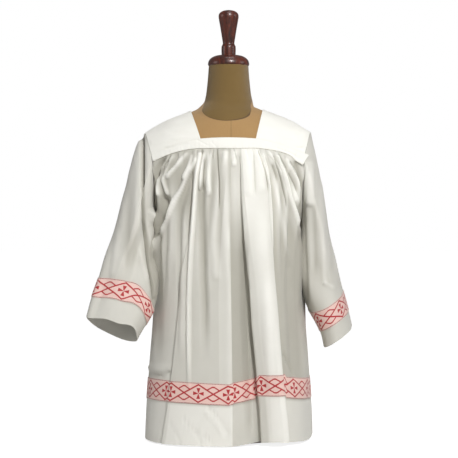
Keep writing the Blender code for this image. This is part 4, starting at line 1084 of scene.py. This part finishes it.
# Ridges and creases as seen from the front, for the front and for the back of each sleeve
sleeveStrokes = {
    "right": (
        (((143, 138), (143, 180), (143.4, 220), (146.5, 246), (150, 270), (155, 300)), -20.0, 2.8, 2.6, 3, 12, 0.8),
        (((152, 262), (154.5, 280), (156, 302)), -6.0, 7.0, 6.0, 14, 8, 0.8),
        (((138, 150), (137, 200), (139, 240)), 2.4, 6.0, 4.0, 12, 24),
        (((148.6, 146), (148.4, 180), (148.6, 204)), 1.4, 3.0, 3.4, 6, 6),
        (((148, 212), (156, 219)), 3.0, 3.6, 3.4, 4, 3),
        (((156, 222), (151, 236), (150, 250)), -3.4, 2.6, 3.0, 3, 8),
        (((133, 160), (125, 205), (117, 250)), 2.2, 7.0, 7.0, 14, 20),
        (((128, 190), (128, 262)), -2.0, 6.0, 6.0, 20, 16),
        (((118, 240), (113, 272)), 1.6, 5.0, 5.0, 14, 6),
        (((139, 250), (146, 276)), 2.4, 4.0, 4.0, 10, 8),
    ),
    "left": (
        (((308.4, 164), (309, 184), (310, 203)), 6.5, 5.0, 7.0, 4, 4, 0.8, 0.5),
        (((305.4, 168), (305.6, 200)), 2.0, 2.0, 2.0, 4, 5),
        (((313.8, 172), (314.4, 196)), -1.8, 2.0, 2.0, 6, 6, 1.1),
        (((303.5, 214), (304.5, 250), (307, 296)), -4.5, 4.0, 4.0, 20, 14, 0.8),
        (((310, 216), (311, 260)), 2.0, 4.0, 5.0, 10, 20),
        (((313, 214), (315, 260)), -2.2, 5.0, 5.0, 12, 20),
        (((320.6, 190), (322, 232), (324.5, 282)), 3.0, 4.0, 4.0, 12, 6, 1.0, 0.4),
        (((325, 283), (332, 287)), 2.4, 3.0, 3.4, 4, 4),
        (((328.5, 205), (331.5, 262)), -2.0, 4.0, 4.0, 14, 16),
    ),
}
# Places where a sleeve's cloth is pulled over the body: the place in the photograph, its reach and the shift
Pull = namedtuple("Pull", "px py across down shift")
sleevePulls = {
    "right": (Pull(153.5, 217, 7.0, 10.0, (0.013, -0.014, -0.001)),
              Pull(152, 238, 7.0, 20.0, (0.009, -0.006, 0.0))),
    "left": (),
}
sleeveBackStrokes = {
    "right": (
        (((147, 140), (144, 190), (140, 240)), -3.4, 4.0, 4.0, 6, 16, 1.2),
        (((138, 150), (130, 210), (122, 262)), 3.0, 6.0, 6.0, 12, 16),
        (((150, 170), (150, 210)), 2.6, 4.0, 4.0, 8, 8),
        (((128, 190), (116, 262)), -2.2, 6.0, 5.0, 16, 16),
    ),
    "left": (
        (((310, 150), (313, 200), (318, 250)), -3.4, 4.0, 4.0, 6, 16, 1.2),
        (((318, 150), (326, 210), (336, 268)), 3.0, 6.0, 6.0, 12, 16),
        (((306, 176), (307, 214)), 2.6, 4.0, 4.0, 8, 8),
        (((322, 262), (334, 250)), -2.0, 5.0, 5.0, 5, 5),
    ),
}


def armholeLoop(side, turn):
    way = np.where(turn < 0.5, -1.0, 1.0)
    fromUnderarm = np.minimum(turn, 1 - turn) * 2
    below = sleeve["frontShare"]
    rise = np.clip(fromUnderarm / below, 0.0, 1.0)
    lower = np.where((way < 0)[..., None], armholePoint(side, rise, -1), armholePoint(side, rise, 1))
    angle = yoke["seamAngle"] * (1 - np.clip((fromUnderarm - below) / (1 - below), 0.0, 1.0)) * way
    upper = yokePoint(yokeEnd(side, angle), angle)
    point = np.where((fromUnderarm <= below)[..., None], lower, upper)
    over = sleeve["overBody"] * skirt["cloth"] * (1 - smoothStep(below, below + sleeve["overUntil"], fromUnderarm))
    point[..., 0] += math.copysign(1.0, side.endLow) * (2 * skirt["seamGap"] + over)
    return point


def cuffPoint(cuff, turn):
    angle = 2 * np.pi * (turn - 0.5)
    centre, outward, forward = (np.array(v) for v in cuff)
    return (centre + outward * power(np.cos(angle), sleeve["cuffPower"])[..., None]
            - forward * power(np.sin(angle), sleeve["cuffPower"])[..., None])


def makeSleeve(name):
    side, cuff = yokeSides[name], cuffs[name]
    turns = np.arange(sleeve["columns"]) / sleeve["columns"]
    start, end = armholeLoop(side, turns), cuffPoint(cuff, turns)
    length = np.linalg.norm(end - start, axis=1)
    # under the arm the cuff is pulled up, so the braid lies closer to its rim there
    near = 1 - sleeve["underCloser"][name] * (1 - smoothStep(*sleeve["underUntil"], np.minimum(turns, 1 - turns)))
    near += sleeve["frontFurther"][name] * bump((turns - sleeve["frontAt"]) / sleeve["frontHalf"])
    top, foot = 1 - sleeve["galloonTop"][name] * near / length, 1 - sleeve["galloonFoot"][name] * near / length
    downs = np.concatenate([np.linspace(0, top, sleeve["aboveBraid"] + 1),
                            np.linspace(top, foot, sleeve["braidRows"] + 1)[1:],
                            np.linspace(foot, 1, sleeve["hemRows"] + 1)[1:]])
    points = start + (end - start) * downs[..., None]
    sewn = smoothStep(0.0, sleeve["sewn"], downs)
    for swell in sleeveSwells[name]:
        beside = np.abs((turns - swell.turn + 0.5) % 1.0 - 0.5)
        size = bump(beside / swell.halfTurn) * bump((downs - swell.down) / swell.halfDown)
        points = points + np.array(swell.shift) * (size * sewn)[..., None]
    facing = -1 if name == "right" else 1
    normals = evenNormals(points, True, facing)
    px, py = photoX(points[..., 0], points[..., 1]), photoY(points[..., 1], points[..., 2])
    seen = smoothStep(*sleeve["seenFront"], -normals[..., 1])
    behind = smoothStep(*sleeve["seenBack"], normals[..., 1])
    out = strokesAt(sleeveStrokes[name], px, py) * seen + strokesAt(sleeveBackStrokes[name], px, py) * behind
    out += sleeve["wave"] * np.sin(points[..., 0] * 34 + points[..., 2] * 23 + 2 * np.sin(points[..., 2] * 15))
    out += sleeve["ripple"] * np.sin(turns * 2 * np.pi * 7 + 3 * np.sin(downs * 5)) * smoothStep(0.5, 1.0, downs)
    points = points + normals * (out * smoothStep(0.0, sleeve["drawnFrom"], downs))[..., None]
    for pull in sleevePulls[name]:
        size = bump((px - pull.px) / pull.across) * bump((py - pull.py) / pull.down) * (normals[..., 1] < 0.2)
        points = points + np.array(pull.shift) * (size * smoothStep(0.0, sleeve["pulledFrom"], downs))[..., None]
    normals = evenNormals(points, True, facing)
    around = points[sleeve["measuredRow"]]
    across = lengthsAlong(np.concatenate([around, around[:1]]))
    down = lengthsAlong(points[:, 0])
    # painted light on the sleeve's ridges, painted shade in its creases and on its inner side next to the body, and
    # the doubled hem's tone set for each cuff as painted shade
    backing = sleeve["backing"] + out * np.where(out > 0, sleeve["ridgePaintedLight"], skirt["valleyPaintedShade"])
    backing -= sleeve["innerShade"] * (1 - smoothStep(0.0, sleeve["innerUntil"], np.minimum(turns, 1 - turns)))
    backing = np.clip(backing, 0.0, 1.0)
    backing[-sleeve["hemRows"]:] = sleeve["hemLayersAndShade"][name]
    piece = addWall(f"sleeve_{name}_cloth", points, points + normals * skirt["cloth"], white, True, facing,
                    across, down, backing)
    first, last = sleeve["aboveBraid"], sleeve["aboveBraid"] + sleeve["braidRows"]
    part, lines = points[first:last + 1], normals[first:last + 1]
    low = skirt["cloth"] + skirt["laidOnGap"]
    middle = len(part) // 2
    ring = part[middle] + lines[middle] * low
    ring = np.concatenate([ring, ring[:1]])
    along = lengthsAlong(ring)
    drop = np.linspace(sleeve["galloonWidth"] / 2, -sleeve["galloonWidth"] / 2, len(part))
    seenAt = photoX(ring[:, 0], ring[:, 1])
    faces = np.where(np.append(lines[middle, :, 1], 1) < 0)[0]
    nearest = faces[np.argmin(np.abs(seenAt[faces] - sleeve["crossAt"][name]))]
    repeat = braid["repeat"] * 0.001
    stretch = round(along[-1] / repeat) * repeat / along[-1]  # so that whole repeats go round
    across = (along - along[nearest]) * stretch
    strip = addWall(f"cuff_galloon_{name}_braid", part + lines * low, part + lines * (low + skirt["galloonCloth"]),
                    galloon, True, facing, across, drop)
    print(piece.name, "and", strip.name, "made")
    return piece, strip, points, normals


sleeveRight, cuffBraidRight, rightGrid, rightNormals = makeSleeve("right")
sleeveLeft, cuffBraidLeft, leftGrid, leftNormals = makeSleeve("left")
print("sleeves made")


# Dress form

form = {"power": 2.3, "bottom": 0.112, "neckTop": 0.933, "neckStart": 0.771, "neckLean": 0.0046, "gap": 0.0019,
        "roundFrom": 0.150, "round": 31.0, "columns": 144, "fineFrom": 0.70, "coarseRings": 50, "fineRings": 96,
        "underYokeFrom": 0.66, "leanEnds": (0.826, 0.846)}
torsoSections = (
    Section(0.112, 0.1580, 0.1060, 0.1160),
    Section(0.200, 0.1660, 0.1120, 0.1240),
    Section(0.280, 0.1620, 0.1100, 0.1160),
    Section(0.370, 0.1480, 0.1030, 0.0960),
    Section(0.460, 0.1520, 0.1080, 0.0990),
    Section(0.550, 0.1620, 0.1170, 0.1100),
    Section(0.620, 0.1680, 0.1190, 0.1160),
    Section(0.700, 0.1820, 0.1150, 0.1150),
    Section(0.850, 0.2000, 0.1120, 0.1120),
)
neckSections = (
    Section(0.770, 0.1040, 0.0960, 0.0900),
    Section(0.800, 0.0960, 0.0860, 0.0800),
    Section(0.8155, 0.0850, 0.0790, 0.0720),
    Section(0.8278, 0.0701, 0.0720, 0.0660),
    Section(0.8367, 0.0634, 0.0675, 0.0620),
    Section(0.845, 0.0600, 0.0645, 0.0590),
    Section(0.863, 0.0560, 0.0600, 0.0555),
    Section(0.903, 0.0517, 0.0555, 0.0525),
    Section(0.933, 0.0495, 0.0520, 0.0500),
)


def ellipseReach(sections, height, angle, exponent):
    half, front, back = sectionAt(sections, height)
    depth = np.where(np.sin(angle) < 0, front, back)
    across = np.abs(np.cos(angle) / half) ** exponent
    along = np.abs(np.sin(angle) / depth) ** exponent
    return (across + along) ** (-1 / exponent)


def underYokeReach(angle, height):
    low, high = np.zeros_like(angle), np.full_like(angle, 0.30)
    for _ in range(30):
        middle = (low + high) / 2
        x, y = middle * np.cos(angle), middle * np.sin(angle)
        depth, rise = yokeRadii(x, y < 0)
        over = ridgeHeight(x) - rise * (1.0 - np.sqrt(np.maximum(0.0, 1.0 - (y / depth) ** 2)))
        beyond = np.maximum(0.0, np.abs(x) - form["roundFrom"])
        free = (np.abs(y) < depth) & (over - form["gap"] - form["round"] * beyond ** 2 > height)
        low, high = np.where(free, middle, low), np.where(free, high, middle)
    return low


meanRadius = 0.09  # the width of a cover's own coordinates comes from this, in metres


def addLofted(name, rings, look):
    # A closed body through rings of equal count, from the bottom up, with flat ends
    count, levels = rings.shape[1], rings.shape[0]
    points = rings.reshape(-1, 3)
    faces, flats = [], []
    heights = lengthsAlong(rings[:, 0])
    step = 2 * math.pi * meanRadius / count
    for r in range(levels - 1):
        for c in range(count):
            after = (c + 1) % count
            faces.append((r * count + c, r * count + after, (r + 1) * count + after, (r + 1) * count + c))
            flats.append([(u, v) for u, v in ((c * step, heights[r]), ((c + 1) * step, heights[r]),
                                              ((c + 1) * step, heights[r + 1]), (c * step, heights[r + 1]))])
    faces.append(tuple(reversed(range(count))))
    faces.append(tuple(range((levels - 1) * count, levels * count)))
    for ring in (rings[0][::-1], rings[-1]):
        flats.append(tuple((p[0], p[1]) for p in ring))
    mesh = bpy.data.meshes.new(name)
    mesh.from_pydata(points.tolist(), [], faces)
    layer = mesh.uv_layers.new(name="cover")
    layer.data.foreach_set("uv", np.array([v for flat in flats for pair in flat for v in pair], np.float32))
    mesh.shade_smooth()
    mesh.set_sharp_from_angle(angle=math.radians(50))
    mesh.materials.append(look)
    made = bpy.data.objects.new(name, mesh)
    bpy.context.scene.collection.objects.link(made)
    return made


def makeForm():
    heights = np.concatenate([np.linspace(form["bottom"], form["fineFrom"], form["coarseRings"])[:-1],
                              np.linspace(form["fineFrom"], form["neckTop"], form["fineRings"])])
    rings = []
    angle = 2 * np.pi * np.arange(form["columns"]) / form["columns"]
    for h in heights:
        level = np.full(form["columns"], h)
        reach = ellipseReach(torsoSections, level, angle, form["power"])
        if h > form["underYokeFrom"]:
            reach = np.minimum(reach, underYokeReach(angle, h))
        if h > form["neckStart"]:
            lean = form["neckLean"] * (1 - smoothStep(*form["leanEnds"], h))
            neck = ellipseReach(neckSections, level, angle, 2.0) - lean * np.cos(angle)
            reach = np.maximum(reach, neck)
        rings.append(np.stack([reach * np.cos(angle), reach * np.sin(angle), level], axis=1))
    return addLofted("form_torso_cover", np.array(rings), linenCover)


def turned(name, profile, look, sides=96, steps=6):
    # A turned piece: a smooth curve through the listed radii and heights
    marks = lengthsAlong(np.array(profile, float))
    between = marks[:-1, None] + np.diff(marks)[:, None] * np.arange(steps) / steps
    curve = curveThrough(np.column_stack([marks, profile]), np.append(between, marks[-1]))
    turn = 2 * np.pi * np.arange(sides) / sides
    rings = np.array([np.stack([r * np.cos(turn), r * np.sin(turn), np.full(sides, h)], axis=1)
                      for r, h in curve])
    return addLofted(name, rings, look)


torso = makeForm()
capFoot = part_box("neck_cap")[0].z
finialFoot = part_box("neck_finial")[0].z
capProfile = ((0.0500, 0.0), (0.0515, 0.0025), (0.0508, 0.0090), (0.0480, 0.0150), (0.0420, 0.0205),
              (0.0330, 0.0245), (0.0210, 0.0265))
finialProfile = ((0.0175, 0.0), (0.0179, 0.012), (0.0175, 0.0215), (0.0150, 0.0270), (0.0146, 0.0305),
                 (0.0168, 0.045), (0.0205, 0.068), (0.0240, 0.088), (0.0251, 0.0965), (0.0235, 0.1035),
                 (0.0165, 0.1095), (0.0070, 0.1120))
neckCap = turned("neck_cap_turned", [(r, capFoot + h) for r, h in capProfile], mahogany)
finial = turned("neck_finial_turned", [(r, finialFoot + h) for r, h in finialProfile], mahogany)
for node in ("base_column", "base_plate"):
    frame["nodes"][node].data.materials.clear()
    frame["nodes"][node].data.materials.append(plainWood)
print("form made")


# Stitches: Geometry Nodes lay a thread along every line that is sewn through

stitching = {"pitch": 0.0036, "length": 0.0027, "width": 0.0006, "unevenness": 0.18, "seed": 11, "inset": 0.0015,
             "proud": 0.0001, "neckInset": 0.004}


def stitchTree():
    tree = bpy.data.node_groups.new("running_stitch", "GeometryNodeTree")
    face = tree.interface
    face.new_socket(name="Geometry", in_out="INPUT", socket_type="NodeSocketGeometry")
    for name in ("Pitch", "Length", "Width", "Unevenness"):
        face.new_socket(name=name, in_out="INPUT", socket_type="NodeSocketFloat")
    face.new_socket(name="Seed", in_out="INPUT", socket_type="NodeSocketInt")
    face.new_socket(name="Geometry", in_out="OUTPUT", socket_type="NodeSocketGeometry")
    given = addNode(tree, "NodeGroupInput").node.outputs
    curve = addNode(tree, "GeometryNodeMeshToCurve", {}, {"Mesh": given["Geometry"]})
    spaced = addNode(tree, "GeometryNodeResampleCurve", {"mode": "LENGTH"},
                     {"Curve": curve, "Length": given["Pitch"]})
    tangent = addNode(tree, "GeometryNodeInputTangent")
    turn = addNode(tree, "FunctionNodeAlignRotationToVector", {"axis": "X"}, {"Vector": tangent})
    least = addNode(tree, "ShaderNodeMath", {"operation": "SUBTRACT"}, {0: 1.0, 1: given["Unevenness"]})
    uneven = addNode(tree, "FunctionNodeRandomValue", {"data_type": "FLOAT"},
                     {"Min": least, "Max": 1.0, "Seed": given["Seed"]}, 1)
    longer = addNode(tree, "ShaderNodeMath", {"operation": "MULTIPLY"}, {0: given["Length"], 1: uneven})
    size = addNode(tree, "ShaderNodeCombineXYZ", {}, {0: longer, 1: given["Width"], 2: given["Width"]})
    bead = addNode(tree, "GeometryNodeMeshUVSphere", {}, {"Segments": 6, "Rings": 4, "Radius": 0.5})
    lying = addNode(tree, "GeometryNodeTransform", {}, {"Geometry": bead, "Rotation": (0.0, math.pi / 2, 0.0)})
    laid = addNode(tree, "GeometryNodeInstanceOnPoints", {},
                   {"Points": spaced, "Instance": lying, "Rotation": turn, "Scale": size})
    real = addNode(tree, "GeometryNodeRealizeInstances", {}, {"Geometry": laid})
    smooth = addNode(tree, "GeometryNodeSetShadeSmooth", {}, {"Geometry": real})
    coloured = addNode(tree, "GeometryNodeSetMaterial", {}, {"Geometry": smooth, "Material": thread})
    addNode(tree, "NodeGroupOutput", {}, {"Geometry": coloured})
    return tree


def addStitches(name, lines):  # each line is (points, closed)
    points, edges = [], []
    for line, closed in lines:
        first, count = len(points), len(line)
        points += [tuple(p) for p in line]
        edges += [(first + i, first + (i + 1) % count) for i in range(count if closed else count - 1)]
    mesh = bpy.data.meshes.new(name)
    mesh.from_pydata(points, edges, [])
    made = bpy.data.objects.new(name, mesh)
    tree = stitchTree()
    sewing = made.modifiers.new("stitches", "NODES")
    sewing.node_group = tree
    for socket in tree.interface.items_tree:
        if socket.in_out == "INPUT" and socket.name.lower() in stitching:
            sewing[socket.identifier] = stitching[socket.name.lower()]
    bpy.context.scene.collection.objects.link(made)
    ready = made.evaluated_get(bpy.context.evaluated_depsgraph_get())
    sewn = bpy.data.meshes.new_from_object(ready)
    made.modifiers.remove(sewing)
    made.data = sewn
    sewn.name = name
    return made


def alongRow(grid, normals, row, out, inset=0.0):  # a line on a wall's outer face, set in from row by inset
    towards = -1 if row else 1
    here, beside = grid[row], grid[row + towards]
    share = inset / np.maximum(np.linalg.norm(beside - here, axis=1, keepdims=True), 1e-6)
    return here + (beside - here) * share + normals[row] * out


def sewnLines():
    inset, proud = stitching["inset"], stitching["proud"]
    onBraid = skirt["cloth"] + skirt["laidOnGap"] + skirt["galloonCloth"] + proud
    onBand, onShoulder = yoke["bandCloth"] + proud, yoke["cloth"] + proud
    lines = []
    for grid, normals, first, last, closed, out in (
            (frontGrid, frontNormals, skirt["upperRows"], skirt["galloonRows"], False, onBraid),
            (backGrid, backNormals, skirt["upperRows"], skirt["galloonRows"], False, onBraid),
            (rightGrid, rightNormals, sleeve["aboveBraid"], sleeve["braidRows"], True, onBraid),
            (leftGrid, leftNormals, sleeve["aboveBraid"], sleeve["braidRows"], True, onBraid),
            (*yokePieces["front"][1:], 0, len(yokePieces["front"][1]) - 1, False, onBand),
            (*yokePieces["back"][1:], 0, len(yokePieces["back"][1]) - 1, False, onBand)):
        part, lifted = grid[first:first + last + 1], normals[first:first + last + 1]
        lines += [(alongRow(part, lifted, row, out, inset), closed) for row in (0, -1)]
    for name in ("right", "left"):
        grid, normals = yokePieces[name][1:]
        inwards = grid[:, 3] - grid[:, 0]
        neck = grid[:, 0] + inwards * (stitching["neckInset"] / np.linalg.norm(inwards, axis=1, keepdims=True))
        lines.append((neck + normals[:, 0] * onShoulder, False))
    return lines


stitches = addStitches("seam_stitches", sewnLines())
print("stitches sewn")


# Place in the frame

dressed = (
    (bodyFront, "body_front", "white_cotton"), (bodyBack, "body_back", "white_cotton"),
    (braidFront, "hem_galloon_front", "woven_galloon"), (braidBack, "hem_galloon_back", "woven_galloon"),
    (yokePieces["right"][0], "yoke_shoulder_right", "white_cotton"),
    (yokePieces["left"][0], "yoke_shoulder_left", "white_cotton"),
    (yokePieces["front"][0], "yoke_front_band", "white_cotton"),
    (yokePieces["back"][0], "yoke_back_band", "white_cotton"),
    (sleeveRight, "sleeve_right", "white_cotton"), (sleeveLeft, "sleeve_left", "white_cotton"),
    (cuffBraidRight, "cuff_galloon_right", "woven_galloon"), (cuffBraidLeft, "cuff_galloon_left", "woven_galloon"),
    (torso, "form_torso", "linen_cover"), (neckCap, "neck_cap", "mahogany"), (finial, "neck_finial", "mahogany"),
)
for piece, node, slot in dressed:
    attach(piece, "root")
    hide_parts(node)
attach(stitches, "root")


# Studio: a plain pale floor, a hard key light from the upper right, two weak side lights and a top light

studio = {"floorHalf": 60.0, "floor": "#F0EFED", "floorGlow": 0.85, "world": 0.20, "worldSeen": 1.0}
Light = namedtuple("Light", "place target size watts")
lights = {
    "key": Light((0.75, -2.55, 2.35), (0.0, 0.0, 0.50), 0.45, 70.0),
    "left": Light((-2.8, -0.5, 1.5), (0.0, 0.0, 0.50), 1.0, 9.0),
    "right": Light((2.8, -0.5, 1.5), (0.0, 0.0, 0.50), 1.0, 9.0),
    "top": Light((0.3, -0.3, 3.2), (0.0, 0.0, 0.55), 0.9, 9.0),
}


def addLight(name, light):
    lamp = bpy.data.lights.new(name, "AREA")
    lamp.shape, lamp.size, lamp.energy = "SQUARE", light.size, light.watts
    made = bpy.data.objects.new(name, lamp)
    bpy.context.scene.collection.objects.link(made)
    made.location = light.place
    made.rotation_euler = (Vector(light.target) - Vector(light.place)).to_track_quat("-Z", "Y").to_euler()


def makeStudio():
    half = studio["floorHalf"]
    mesh = bpy.data.meshes.new("floor")
    mesh.from_pydata([(-half, -half, 0), (half, -half, 0), (half, half, 0), (-half, half, 0)], [], [(0, 1, 2, 3)])
    made, tree = startMaterial("matt_white_floor")
    seen = addNode(tree, "ShaderNodeLightPath", output="Is Camera Ray")
    glow = addNode(tree, "ShaderNodeMath", {"operation": "MULTIPLY"}, {0: seen, 1: studio["floorGlow"]})
    finishMaterial(made, {"Base Color": linear(studio["floor"]), "Roughness": 0.9,
                          "Emission Color": (1.0, 1.0, 1.0, 1.0), "Emission Strength": glow})
    mesh.materials.append(made)
    floor = bpy.data.objects.new("floor", mesh)
    bpy.context.scene.collection.objects.link(floor)
    world = bpy.data.worlds.new("studio")
    bpy.context.scene.world = world
    world.use_nodes = True
    tree = world.node_tree
    seen = addNode(tree, "ShaderNodeLightPath", output="Is Camera Ray")
    strength = addNode(tree, "ShaderNodeMapRange", {}, {"Value": seen, "To Min": studio["world"],
                                                        "To Max": studio["worldSeen"]})
    fillInputs(tree, tree.nodes["Background"], {"Color": (1.0, 1.0, 1.0, 1.0), "Strength": strength})
    for name, light in lights.items():
        addLight(name, light)


makeStudio()
lens = bpy.data.cameras.new("camera")
lens.sensor_width = view["sensor"]
lens.lens = view["sensor"] * view["focalPixels"] / view["frame"]
lens.shift_x = (view["frame"] / 2 - view["middleX"]) / view["frame"]
lens.shift_y = (view["middleY"] - view["frame"] / 2) / view["frame"]
lens.clip_end = 100.0
camera = bpy.data.objects.new("camera", lens)
bpy.context.scene.collection.objects.link(camera)
camera.location = (0.0, -view["distance"], view["height"])
camera.rotation_euler = (math.pi / 2, 0.0, 0.0)
bpy.context.scene.camera = camera
bpy.context.scene.view_settings.view_transform = "Standard"
print("studio made")
